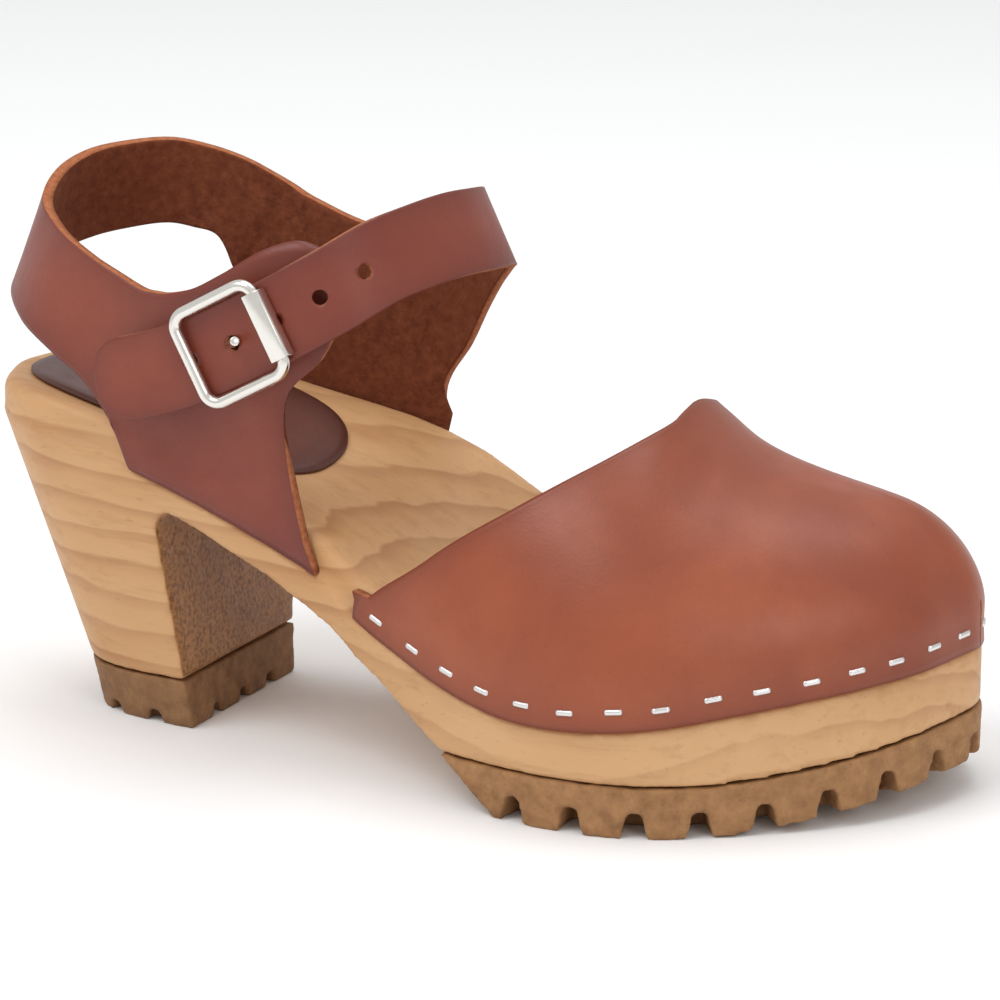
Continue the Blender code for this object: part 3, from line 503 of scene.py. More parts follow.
DIMPLE = 0.45 * MM
DIMPLE_NEAR = 12 * MM
STAPLE_SUNK = 0.7
SLOPE_STEP = 0.5 * MM
DIMPLE_REACH = (4.2 * MM, 3.0 * MM)
EDGE_FADE = 4 * MM
HOLE_SIDES = 24
CUTTER_BELOW = 0.8 * MM
CUTTER_ABOVE = 2 * MM
CORNER_STEPS = 12
WIRE_SIDES = 20
PRONG_SIDES = 18
PRONG_STRAIGHT = 0.9
PRONG_TURN = 0.25
PRONG_END = 0.12 * MM
PRONG_END_SHARE = 0.82
SLEEVE_BEVEL = 0.16 * MM
PLATE_BEVEL = 0.2 * MM
PAD_ROUND_START = 0.9
PAD_ROUND_DROP = 0.45
PAD_DARK_START = 0.75
SHIFT = Vector((-LENGTH / 2, 0, 0))

CAMERA_TARGET = (0.0072, 0.00425, 0.05515)
CAMERA_BACK = (0.4152, -0.8719, 0.2595)
CAMERA_DISTANCE = 0.8882
CAMERA_LENS = 144.3
CAMERA_SENSOR = 36
FLOOR_HALF = 6
WORLD_STRENGTH = 0.72
LIGHTS = (
    # name, place, size, power
    ("key", (-0.5, -0.9, 1.5), (0.9, 0.9), 11),
    ("front", (1.3, -0.9, 0.9), (0.7, 0.7), 4),
    ("top", (0.1, 0.3, 1.6), (1.2, 0.8), 8),
)

draw = random.Random(7)


def link(thing):
    bpy.context.scene.collection.objects.link(thing)
    return thing


def settle(thing):
    """Applies the modifiers."""
    graph = bpy.context.evaluated_depsgraph_get()
    mesh = bpy.data.meshes.new_from_object(
        thing.evaluated_get(graph), preserve_all_data_layers=True, depsgraph=graph
    )
    thing.modifiers.clear()
    thing.data = mesh
    return thing


def finish_piece(thing, slot, *nodes):
    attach(thing, "root")
    if nodes:
        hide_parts(*nodes)
    return thing


def solid(name, points, faces, materials, shift=SHIFT, values=None):
    """A smooth-shaded object from part coordinates, with one optional value per point."""
    mesh = bpy.data.meshes.new(name)
    mesh.from_pydata([tuple(Vector(point) + shift) for point in points], [], faces)
    mesh.update()
    for material in materials:
        mesh.materials.append(material)
    if values is not None:
        layer = mesh.attributes.new("edge", "FLOAT", "POINT")
        layer.data.foreach_set("value", np.asarray(values, np.float32))
    mesh.shade_smooth()
    return link(bpy.data.objects.new(name, mesh))


def face_out(thing):
    work = bmesh.new()
    work.from_mesh(thing.data)
    bmesh.ops.recalc_face_normals(work, faces=work.faces)
    work.to_mesh(thing.data)
    work.free()
    return thing


class Nodes:
    """Short calls for building a material's nodes."""

    def __init__(self, name):
        self.material = bpy.data.materials.new(name)
        self.material.use_nodes = True
        self.tree = self.material.node_tree
        self.shader = self.tree.nodes["Principled BSDF"]

    def add(self, kind, inputs=None, **settings):
        node = self.tree.nodes.new(kind)
        for key, value in settings.items():
            setattr(node, key, value)
        for key, value in (inputs or {}).items():
            self.join(node.inputs[key], value)
        return node

    def join(self, socket, value):
        if isinstance(value, bpy.types.NodeSocket):
            self.tree.links.new(value, socket)
        else:
            socket.default_value = value

    def set(self, **values):
        for key, value in values.items():
            self.join(self.shader.inputs[key.replace("_", " ")], value)

    def place(self, scale=(1, 1, 1), location=(0, 0, 0)):
        where = self.add("ShaderNodeTexCoord").outputs["Object"]
        settings = {"Vector": where, "Scale": scale, "Location": location}
        return self.add("ShaderNodeMapping", settings).outputs[0]

    def noise(self, where, scale, detail=4.0, roughness=0.55, distortion=0.0):
        settings = {
            "Vector": where,
            "Scale": scale,
            "Detail": detail,
            "Roughness": roughness,
            "Distortion": distortion,
        }
        return self.add("ShaderNodeTexNoise", settings).outputs["Fac"]

    def ramp(self, value, stops):
        node = self.add("ShaderNodeValToRGB", {"Fac": value})
        while len(node.color_ramp.elements) < len(stops):
            node.color_ramp.elements.new(0.5)
        for element, (position, colour) in zip(node.color_ramp.elements, stops):
            element.position = position
            element.color = (*colour, 1) if len(colour) == 3 else colour
        return node.outputs["Color"]

    def span(self, value, low, high, start=0.0, end=1.0):
        settings = {"Value": value, "From Min": low, "From Max": high, "To Min": start, "To Max": end}
        return self.add("ShaderNodeMapRange", settings).outputs[0]

    def mix(self, factor, first, second, blend="MIX"):
        node = self.add("ShaderNodeMix", data_type="RGBA", blend_type=blend)
        self.join(node.inputs["Factor"], factor)
        self.join(node.inputs["A"], first if isinstance(first, bpy.types.NodeSocket) else (*first, 1))
        self.join(node.inputs["B"], second if isinstance(second, bpy.types.NodeSocket) else (*second, 1))
        return node.outputs["Result"]

    def maths(self, operation, first, second=0.5):
        node = self.add("ShaderNodeMath", operation=operation)
        self.join(node.inputs[0], first)
        self.join(node.inputs[1], second)
        return node.outputs[0]

    def bump(self, height, strength, distance):
        node = self.add("ShaderNodeBump", {"Height": height, "Strength": strength, "Distance": distance})
        self.set(Normal=node.outputs[0])
        return node


def linear(value):
    """Linear share of a 0 to 255 display value."""
    return ((value / 255 + 0.055) / 1.055) ** 2.4 if value > 10 else value / 255 / 12.92


def srgb(*values):
    """Linear colour of 0 to 255 display values."""
    return tuple(linear(value) for value in values)


def wood_material():
    """Pale oiled wood: ring grain, streaks, pores and flecks along X, end grain on the heel's breast."""
    nodes = Nodes("alder wood")
    stretched = nodes.place(scale=(0.16, 1, 1), location=(0, 0.012, 0.035))
    waves = {
        "Vector": stretched,
        "Scale": 42.0,
        "Distortion": 5.5,
        "Detail": 3.0,
        "Detail Scale": 0.9,
        "Detail Roughness": 0.6,
    }
    shape = {"wave_type": "RINGS", "rings_direction": "X", "wave_profile": "SAW"}
    rings = nodes.add("ShaderNodeTexWave", waves, **shape).outputs["Fac"]
    ring_tones = (
        (0.0, srgb(196, 150, 103)),
        (0.6, srgb(190, 142, 94)),
        (0.93, srgb(170, 120, 76)),
        (1.0, srgb(190, 143, 96)),
    )
    grain = nodes.ramp(rings, ring_tones)
    broad = nodes.noise(nodes.place(scale=(0.5, 1, 1)), 26.0, 3.0)
    colour = nodes.mix(nodes.span(broad, 0.35, 0.68, 0.0, 0.75), grain, srgb(208, 166, 120))
    long = nodes.noise(nodes.place(scale=(0.045, 1, 1)), 320.0, 5.0, 0.65)
    colour = nodes.mix(nodes.span(long, 0.52, 0.78, 0.0, 0.45), colour, srgb(160, 112, 70))
    pores = nodes.noise(nodes.place(scale=(0.10, 1, 1)), 1500.0, 2.0, 0.5)
    colour = nodes.mix(nodes.span(pores, 0.66, 0.80, 0.0, 0.35), colour, srgb(120, 80, 45))
    flecks = nodes.noise(nodes.place(scale=(0.20, 1, 0.9), location=(0.3, 0.1, 0.2)), 75.0, 2.0, 0.5, 0.8)
    colour = nodes.mix(nodes.span(flecks, 0.735, 0.79, 0.0, 0.75), colour, srgb(92, 58, 34))
    normal = nodes.add("ShaderNodeNewGeometry").outputs["Normal"]
    ahead = nodes.add("ShaderNodeSeparateXYZ", {"Vector": normal}).outputs["X"]
    specks = nodes.noise(nodes.place(), 900.0, 3.0, 0.6)
    patches = nodes.noise(nodes.place(), 60.0, 3.0, 0.6)
    end_grain = nodes.mix(nodes.span(specks, 0.42, 0.66), srgb(168, 118, 70), srgb(112, 72, 38))
    end_grain = nodes.mix(nodes.span(patches, 0.4, 0.7, 0.0, 0.5), end_grain, srgb(128, 84, 46))
    facing = nodes.span(ahead, 0.62, 0.9)
    back = nodes.add("ShaderNodeSeparateXYZ", {"Vector": nodes.place()}).outputs["X"]
    behind = nodes.span(back, 0.0, -0.02)
    colour = nodes.mix(nodes.maths("MULTIPLY", facing, behind), colour, end_grain)
    nodes.set(Base_Color=colour, Roughness=nodes.span(long, 0.3, 0.75, 0.42, 0.6))
    nodes.set(Specular_IOR_Level=0.4)
    fine = nodes.maths("ADD", nodes.maths("MULTIPLY", long, 0.6), nodes.maths("MULTIPLY", pores, 0.4))
    nodes.bump(fine, 0.35, 0.0004)
    return nodes.material


def rubber_material(name, light, dark):
    """Matt crepe rubber, mottled and finely pitted."""
    nodes = Nodes(name)
    coarse = nodes.noise(nodes.place(), 240.0, 5.0, 0.65)
    fine = nodes.noise(nodes.place(), 1300.0, 3.0, 0.6)
    broad = nodes.noise(nodes.place(), 30.0, 2.0, 0.5)
    colour = nodes.mix(nodes.span(coarse, 0.35, 0.68), light, dark)
    colour = nodes.mix(nodes.span(fine, 0.55, 0.75, 0.0, 0.35), colour, srgb(92, 62, 38))
    colour = nodes.mix(nodes.span(broad, 0.4, 0.7, 0.0, 0.3), colour, light)
    nodes.set(Base_Color=colour, Roughness=0.72)
    nodes.set(Specular_IOR_Level=0.35)
    height = nodes.maths("ADD", nodes.maths("MULTIPLY", coarse, 0.65), nodes.maths("MULTIPLY", fine, 0.35))
    nodes.bump(height, 0.7, 0.0006)
    return nodes.material


def leather_material(name, light, deep, dark, roughness):
    """The smooth outer side: soft clouds of tone, fine pores, a little deeper along the cut edges."""
    nodes = Nodes(name)
    clouds = nodes.noise(nodes.place(), 24.0, 4.0, 0.55, 0.4)
    blotches = nodes.noise(nodes.place(scale=(1, 1.3, 1)), 85.0, 4.0, 0.6)
    cells = nodes.add("ShaderNodeTexVoronoi", {"Vector": nodes.place(), "Scale": 1500.0}, feature="F1")
    pores = cells.outputs["Distance"]
    fine = nodes.noise(nodes.place(), 900.0, 3.0, 0.6)
    colour = nodes.mix(nodes.span(clouds, 0.34, 0.66), deep, light)
    colour = nodes.mix(nodes.span(blotches, 0.45, 0.75, 0.0, 0.3), colour, deep)
    colour = nodes.mix(nodes.span(fine, 0.55, 0.8, 0.0, 0.18), colour, dark)
    edge = nodes.add("ShaderNodeAttribute", attribute_name="edge").outputs["Fac"]
    colour = nodes.mix(nodes.span(edge, 0.0, 1.0, 0.0, 0.55), colour, dark)
    uneven = nodes.span(blotches, 0.3, 0.7, roughness - 0.05, roughness + 0.07)
    nodes.set(Base_Color=colour, Roughness=uneven)
    nodes.set(Specular_IOR_Level=0.42)
    nodes.set(Coat_Weight=0.12, Coat_Roughness=0.32)
    height = nodes.maths("ADD", nodes.maths("MULTIPLY", pores, 0.35), nodes.maths("MULTIPLY", fine, 0.35))
    height = nodes.maths("ADD", height, nodes.maths("MULTIPLY", blotches, 0.6))
    nodes.bump(height, 0.22, 0.00035)
    return nodes.material


def flesh_material():
    """The leather's rough inner side."""
    nodes = Nodes("leather flesh side")
    nap = nodes.noise(nodes.place(), 420.0, 6.0, 0.7)
    broad = nodes.noise(nodes.place(), 45.0, 3.0, 0.6)
    colour = nodes.mix(nodes.span(nap, 0.35, 0.7), srgb(98, 48, 31), srgb(136, 76, 50))
    colour = nodes.mix(nodes.span(broad, 0.35, 0.7, 0.0, 0.4), colour, srgb(120, 62, 40))
    nodes.set(Base_Color=colour, Roughness=0.95)
    nodes.set(Specular_IOR_Level=0.15)
    nodes.set(Sheen_Weight=0.25, Sheen_Tint=(*srgb(200, 140, 110), 1))
    nodes.bump(nap, 0.8, 0.0007)
    return nodes.material


def cut_material():
    """The leather's raw edge, paler than both its sides."""
    nodes = Nodes("leather cut edge")
    fibres = nodes.noise(nodes.place(), 700.0, 5.0, 0.7)
    colour = nodes.mix(nodes.span(fibres, 0.3, 0.72), srgb(150, 82, 52), srgb(192, 124, 84))
    nodes.set(Base_Color=colour, Roughness=0.9)
    nodes.set(Specular_IOR_Level=0.2)
    nodes.bump(fibres, 0.9, 0.0006)
    return nodes.material


def metal_material(name, colour, roughness):
    """Bright metal with a slightly uneven polish."""
    nodes = Nodes(name)
    wear = nodes.noise(nodes.place(), 350.0, 4.0, 0.6)
    uneven = nodes.span(wear, 0.3, 0.7, roughness - 0.04, roughness + 0.08)
    nodes.set(Base_Color=(*colour, 1), Metallic=1.0, Roughness=uneven)
    nodes.bump(wear, 0.08, 0.0002)
    return nodes.material


def unevenness(place):
    """How far a cast face lies out or in at a place, as a share of its roughness."""
    return noise.noise(place * ROUGH_COARSE) + ROUGH_FINE_SHARE * noise.noise(place * ROUGH_FINE)


def refined(name, node, voxel, rough, material):
    """A finer copy of a rigid node with its edges eased, and its faces uneven by the rough amount."""
    thing = link(bpy.data.objects.new(name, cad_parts[node].data.copy()))
    work = bmesh.new()
    work.from_mesh(thing.data)
    bmesh.ops.remove_doubles(work, verts=work.verts, dist=WELD)
    work.to_mesh(thing.data)
    work.free()
    remesh = thing.modifiers.new("voxels", "REMESH")
    remesh.mode = "VOXEL"
    remesh.voxel_size = voxel
    ease = thing.modifiers.new("ease", "SMOOTH")
    ease.factor = EASE_FACTOR
    ease.iterations = EASE_ROUNDS
    settle(thing)
    if rough:
        count = len(thing.data.vertices)
        places = np.zeros(count * 3, np.float32)
        normals = np.zeros(count * 3, np.float32)
        thing.data.vertices.foreach_get("co", places)
        thing.data.vertex_normals.foreach_get("vector", normals)
        places = places.reshape(-1, 3)
        amounts = np.array([unevenness(Vector(at)) for at in places.tolist()]) * rough
        amounts = np.where(places[:, 2] < FLAT_BELOW, 0, amounts)
        places += normals.reshape(-1, 3) * amounts[:, None]
        thing.data.vertices.foreach_set("co", places.ravel())
        thing.data.update()
    thing.data.materials.clear()
    thing.data.materials.append(material)
    thing.data.shade_smooth()
    return thing


def grid_faces(rows, columns, start=0):
    """Quads over a grid of points, row by row."""
    faces = []
    for i in range(rows - 1):
        for j in range(columns - 1):
            a = start + i * columns + j
            faces.append((a, a + 1, a + columns + 1, a + columns))
    return faces


def staple_places():
    """Owner, plan side, X and lift of each staple: round the vamp, then along the two quarters."""
    paths = []
    for side in (0, 1):
        half = half_plan(PROUD, side)
        paths.append(half[half[:, 0] > THROAT_CORNERS[side]])
    rim = np.concatenate([paths[0], paths[1][::-1]])
    run = np.concatenate([[0], np.cumsum(np.linalg.norm(np.diff(rim, axis=0), axis=1))])
    count = int((run[-1] - 2 * STAPLE_FIRST) / STAPLE_PITCH) + 1
    spread = (run[-1] - 2 * STAPLE_FIRST) / (count - 1)
    found = []
    for i in range(count):
        at = STAPLE_FIRST + spread * i + draw.uniform(-STAPLE_WANDER, STAPLE_WANDER)
        x = float(np.interp(at, run, rim[:, 0]))
        side = 0 if at < run[len(paths[0]) - 1] else 1
        found.append(("vamp", side, x, STAPLE_LIFT + draw.uniform(-STAPLE_LIFT_WANDER, STAPLE_LIFT_WANDER)))
    for side, (first, last) in enumerate((QUARTER_LATERAL, QUARTER_MEDIAL)):
        for i in range(QUARTER_STAPLES):
            x = first + (last - first) * i / (QUARTER_STAPLES - 1)
            x += draw.uniform(-QUARTER_WANDER, QUARTER_WANDER)
            found.append(("quarter", side, x, STAPLE_LIFT - QUARTER_LOWER))
    return found


def edge_frame(side, x, lift):
    """A place on the leather above its edge, with the way along the edge and the way out."""
    half = half_plan(PROUD, side)
    ahead = np.gradient(half, axis=0)
    way_x = float(np.interp(x, half[:, 0], ahead[:, 0]))
    way_y = float(np.interp(x, half[:, 0], ahead[:, 1]))
    size = math.hypot(way_x, way_y)
    rise = float(ledge(x + SLOPE_STEP, side) - ledge(x - SLOPE_STEP, side))
    slope = rise / (2 * SLOPE_STEP) * way_x / size
    along = Vector((way_x / size, way_y / size, slope)).normalized()
    out = Vector((way_y, -way_x, 0)) if side == 0 else Vector((-way_y, way_x, 0))
    out.normalize()
    y = float(edge_at(PROUD, side, x))
    return Vector((x, y, float(ledge(x, side)) + FIT + lift)), along, out


def staple_mesh(points, faces, place, along, out):
    """Adds one staple: a flat crown with both ends turned into the leather."""
    half = STAPLE_CROWN / 2
    profile = []
    for share in np.linspace(-1, 1, STAPLE_STEPS):
        drop = max(0, (abs(share) - STAPLE_FLAT) / (1 - STAPLE_FLAT)) ** 2
        profile.append((share * half, STAPLE_RISE * (1 - STAPLE_BEND * drop)))
    across = out.cross(along).normalized()
    start = len(points)
    for run, rise in profile:
        for side, height in STAPLE_SECTION:
            lift = rise - STAPLE_RISE * (1 - height)
            points.append(tuple(place + along * run + across * (side * STAPLE_WIDTH / 2) + out * lift))
    size = len(STAPLE_SECTION)
    for i in range(len(profile) - 1):
        for j in range(size):
            a = start + i * size + j
            b = start + i * size + (j + 1) % size
            faces.append((a, b, b + size, a + size))
    faces.append(tuple(range(start, start + size)))
    last = start + (len(profile) - 1) * size
    faces.append(tuple(range(last, last + size)))


def press_in(grid, outward, staples):
    """Pulls the leather in near its staples."""
    depth = np.zeros(grid.shape[:2])
    for place, along, _ in staples:
        gap = grid - np.array(place)
        run = (gap @ np.array(along)) / DIMPLE_REACH[0]
        rise = gap[:, :, 2] / DIMPLE_REACH[1]
        near = np.linalg.norm(gap, axis=2) < DIMPLE_NEAR
        depth = np.maximum(depth, np.where(near, np.exp(-run * run - rise * rise), 0))
    return grid - outward * (DIMPLE * depth)[:, :, None]


def grid_normals(grid):
    """The unit way off a grid of points, place by place."""
    outward = np.cross(np.gradient(grid, axis=1), np.gradient(grid, axis=0))
    return outward / np.maximum(np.linalg.norm(outward, axis=2, keepdims=True), 1e-9)


def leather_layers(thing, group=None):
    """Thickness for a sheet: outer side first, then flesh side and cut edge by material."""
    if group:
        ease = thing.modifiers.new("ease", "SMOOTH")
        ease.factor = EASE_FACTOR
        ease.iterations = LEATHER_EASE_ROUNDS
        ease.vertex_group = group
    shell = thing.modifiers.new("leather", "SOLIDIFY")
    shell.thickness = LEATHER
    shell.offset = -1
    shell.use_even_offset = False
    shell.material_offset = 1
    shell.material_offset_rim = 2
    return settle(thing)


def grid_edge_values(grid, ends):
    """1 at the cut edges of a grid and 0 well inside, with ends naming the edges that are cut."""
    across = np.linalg.norm(np.diff(grid, axis=0), axis=2)
    along = np.linalg.norm(np.diff(grid, axis=1), axis=2)
    low = np.concatenate([np.zeros((1, grid.shape[1])), np.cumsum(across, axis=0)])
    left = np.concatenate([np.zeros((grid.shape[0], 1)), np.cumsum(along, axis=1)], axis=1)
    far = {"low": low, "high": low[-1:] - low, "left": left, "right": left[:, -1:] - left}
    return np.exp(-np.min([far[end] for end in ends], axis=0) / EDGE_FADE)


def vamp_piece(materials, staples):
    """The closed upper over the toes, in two halves that meet along its crest."""
    toe = float(half_plan(PROUD, 0)[-1, 0])
    rows, band, columns = VAMP_FINE
    peak = THROAT_PEAK + toe_fan(THROAT_PEAK)
    points, values, faces, pinned = [], [], [], []
    for side, corner in enumerate(THROAT_CORNERS):
        start = len(points)
        levels = []
        for row in range(-band, rows + 1):
            up = row / rows if row > 0 else row / band
            back = corner + (peak - corner) * float(follow(up, THROAT, 1 + side))
            along = back + (toe - back) * np.sin(math.pi / 2 * np.linspace(0, 1, columns + 1))
            level = vamp_surface(side, along, max(up, 0))
            if row < 0:
                low = ledge(np.minimum(along, LENGTH), side) + FIT
                level[:, 2] = low + (level[:, 2] - low) * (row + band) / band
            levels.append(level)
        grid = np.array(levels)
        outward = grid_normals(grid) * (1 if side == 0 else -1)
        grid = press_in(grid, outward, staples)
        points += [tuple(point) for row in grid for point in row]
        values += list(grid_edge_values(grid, ("low", "left")).ravel())
        pinned += range(start, start + columns + 1)
        pinned += range(start, len(points), columns + 1)
        faces += grid_faces(rows + band + 1, columns + 1, start)
    _, first, index = np.unique(np.round(np.array(points), 7), axis=0, return_index=True, return_inverse=True)
    index = index.reshape(-1)
    welded = [points[i] for i in first]
    faces = [tuple(int(index[i]) for i in face) for face in faces]
    faces = [tuple(dict.fromkeys(face)) for face in faces if len(set(face)) > 2]
    thing = solid("vamp_leather", welded, faces, materials, values=[values[i] for i in first])
    face_out(thing)
    group = thing.vertex_groups.new(name="inside")
    held = {int(index[i]) for i in pinned}
    group.add([i for i in range(len(welded)) if i not in held], 1.0, "REPLACE")
    return leather_layers(thing, "inside")


def strip_grid():
    """The strip's outer face in fine steps, as rows from its lower edge up."""
    rows = spline(ankle_rows(), False, STRIP_FINE)
    shares = np.linspace(0, 1, STRIP_FINE_ROWS)
    held = np.maximum(0, (shares - SEAT_START) / (1 - SEAT_START))
    held = (smoothstep(held, 0, 1) + held) / 2
    forward = STRAP_WIDTH * follow(shares, FLAG_EDGE, 1)
    ends = np.linalg.norm(np.diff((rows[:, :3] + rows[:, 3:6]) / 2, axis=0), axis=1)
    left = np.concatenate([np.cumsum(ends[::-1])[::-1], [0]])
    columns = []
    for i, row in enumerate(rows):
        seat = min(max(row[6], 0), 1)
        middle = (row[:3] + row[3:6]) / 2
        back = max(0, STRAP_TIP - left[i]) / STRAP_TIP
        narrow = max(math.sqrt(1 - back * back), STRAP_TIP_LEAST)
        high = middle + (row[:3] - middle) * narrow
        low = middle + (row[3:6] - middle) * narrow
        line = low + (high - low) * shares[:, None]
        line[:, 1] = low[1] + (high[1] - low[1]) * (seat * held + (1 - seat) * shares)
        line[:, 0] += max(0, 1 - i / (FLAG_REACH * STRIP_FINE)) * forward
        columns.append(clear_of_wood(line))
    return np.array(columns).transpose(1, 0, 2)


def strip_piece(materials, staples):
    """The ankle strip with its buckle holes punched through."""
    grid = strip_grid()
    grid = press_in(grid, grid_normals(grid), staples)
    points = [tuple(point) for row in grid for point in row]
    values = grid_edge_values(grid, ("low", "high", "left", "right")).ravel()
    thing = solid("ankle_leather", points, grid_faces(*grid.shape[:2]), materials, values=values)
    middle = Vector(np.mean(points, axis=0)) + SHIFT
    outward = sum((face.center - middle).dot(face.normal) * face.area for face in thing.data.polygons)
    if outward < 0:
        thing.data.flip_normals()
    leather_layers(thing)
    points, faces = [], []
    for place in range(-HOLES_BEHIND, HOLES_AHEAD + 1):
        turn = strap_frame(place * HOLE_PITCH)
        add_rod(points, faces, turn, HOLE / 2, -LEATHER - CUTTER_BELOW, CUTTER_ABOVE, HOLE_SIDES)
    cutter = face_out(solid("hole_cutter", points, faces, materials[2:]))
    holes = thing.modifiers.new("holes", "BOOLEAN")
    holes.object = cutter
    holes.operation = "DIFFERENCE"
    holes.solver = "EXACT"
    holes.material_mode = "TRANSFER"
    settle(thing)
    bpy.data.objects.remove(cutter)
    return thing


def add_rod(points, faces, turn, radius, low, high, sides):
    """Adds a round rod along Z of the given turn."""
    start = len(points)
    for z in (low, high):
        for angle in np.linspace(0, 2 * math.pi, sides, endpoint=False):
            points.append(tuple(turn @ Vector((radius * math.cos(angle), radius * math.sin(angle), z))))
    faces.append(tuple(range(start, start + sides)))
    faces.append(tuple(range(start + sides, start + 2 * sides)))
    for i in range(sides):
        after = (i + 1) % sides
        faces.append((start + i, start + after, start + after + sides, start + i + sides))


def tube(points, faces, path, radius, sides, closed):
    """Adds a round wire along a path of (place, radius share) pairs."""
    start = len(points)
    count = len(path)
    for i, (place, share) in enumerate(path):
        before = path[(i - 1) % count if closed else max(i - 1, 0)][0]
        after = path[(i + 1) % count if closed else min(i + 1, count - 1)][0]
        ahead = (after - before).normalized()
        side = ahead.cross(Vector((0, 0, 1)))
        if side.length < 0.1:
            side = Vector((0, 1, 0))
        side.normalize()
        up = side.cross(ahead).normalized()
        for angle in np.linspace(0, 2 * math.pi, sides, endpoint=False):
            points.append(place + (side * math.cos(angle) + up * math.sin(angle)) * radius * share)
    for i in range(count if closed else count - 1):
        near = start + i * sides
        far = start + ((i + 1) % count) * sides
        for j in range(sides):
            other = (j + 1) % sides
            faces.append((near + j, near + other, far + other, far + j))
    if not closed:
        faces.append(tuple(range(start, start + sides)))
        faces.append(tuple(range(start + (count - 1) * sides, start + count * sides)))


def wire_piece(name, place, path, radius, sides, closed, material):
    """A round wire along a path in the strap's frame."""
    points, faces = [], []
    tube(points, faces, path, radius, sides, closed)
    return face_out(solid(name, [place @ point for point in points], faces, [material]))


def ring_piece(place, nickel):
    """The frame, with four rounded corners."""
    flat = BUCKLE / 2 - BUCKLE_CORNER
    path = []
    for quarter, (x, y) in enumerate(((1, 1), (-1, 1), (-1, -1), (1, -1))):
        for angle in np.linspace(0, math.pi / 2, CORNER_STEPS):
            turn = angle + quarter * math.pi / 2
            along = x * flat + BUCKLE_CORNER * math.cos(turn)
            across = y * flat + BUCKLE_CORNER * math.sin(turn)
            path.append((Vector((along, across, WIRE_HEIGHT)), 1.0))
    return wire_piece("buckle_ring", place, path, WIRE / 2, WIRE_SIDES, True, nickel)


def prong_piece(place, floor, nickel):
    """The prong: up through its hole, then leaning over the strap."""
    root = floor + PLATE / 2
    lean = math.radians(PRONG_LEAN)
    over = Vector((math.sin(lean), 0, math.cos(lean)))
    path = []
    for share in np.linspace(0, 1, 5):
        path.append((Vector((0, 0, root + PRONG_RISE * share * PRONG_STRAIGHT)), 1.0))
    bend = Vector((0, 0, root + PRONG_RISE - PRONG_JOIN))
    for share in np.linspace(PRONG_TURN, 1, 8):
        path.append((bend + over * PRONG_TIP * share, 1.0))
    path.append((path[-1][0] + over * PRONG_END, PRONG_END_SHARE))
    return wire_piece("buckle_prong", place, path, PRONG / 2, PRONG_SIDES, False, nickel)


def buckle_pieces(nickel):
    """The fastened buckle: frame, folded sleeve, prong and the base plate under the strap."""
    place = strap_frame(0)
    floor = -LEATHER - PLATE_GAP - PLATE
    ring = ring_piece(place, nickel)
    sleeve = sleeve_piece(place, nickel)
    prong = prong_piece(place, floor, nickel)
    plate = plate_piece(place, floor, nickel)
    finish_piece(ring, "nickel", "buckle_frame")
    finish_piece(sleeve, "nickel", "buckle_sleeve")
    finish_piece(plate, "nickel", "buckle_plate")
    finish_piece(prong, "nickel")


def extrude(name, outline, reach, lay, place, material, bevel):
    """An outline drawn out both ways by a reach and laid in the strap's frame, its edges rounded."""
    points = [lay(x, y, z) for z in (-reach, reach) for x, y in outline]
    count = len(outline)
    faces = [tuple(range(count)), tuple(range(count, 2 * count))]
    for i in range(count):
        after = (i + 1) % count
        faces.append((i, after, after + count, i + count))
    thing = face_out(solid(name, [place @ Vector(point) for point in points], faces, [material]))
    soft = thing.modifiers.new("soft", "BEVEL")
    soft.width = bevel
    soft.segments = 3
    soft.limit_method = "ANGLE"
    settle(thing)
    thing.data.shade_smooth()
    return thing


def sleeve_piece(place, nickel):
    """The folded sheet over the frame's front bar."""
    inner = WIRE / 2 + FIT
    outer = SLEEVE_WIDTH / 2
    roof = inner + SLEEVE_SHEET
    half = [
        (outer - 0.9 * MM, roof),
        (outer - 0.25 * MM, roof - 0.3 * MM),
        (outer, roof - 1.0 * MM),
        (outer, -WIRE / 2),
        (inner, -WIRE / 2),
        (inner, inner),
    ]
    outline = half + [(-x, y) for x, y in reversed(half)]

    def lay(x, y, z):
        return x + BUCKLE / 2, z, y + WIRE_HEIGHT

    return extrude("buckle_roller", outline, SLEEVE_LENGTH / 2, lay, place, nickel, SLEEVE_BEVEL)


def plate_piece(place, floor, nickel):
    """The base plate with its two ears."""
    ear_in = STRAP_WIDTH / 2 + FIT * 2
    ear_out = BUCKLE / 2 + WIRE / 2
    half = [(ear_out, floor), (ear_out, 0), (ear_in, 0), (ear_in, floor + PLATE)]
    outline = half + [(-x, y) for x, y in reversed(half)]

    def lay(x, y, z):
        return z, x, y

    return extrude("buckle_base", outline, PLATE_WIDTH / 2, lay, place, nickel, PLATE_BEVEL)


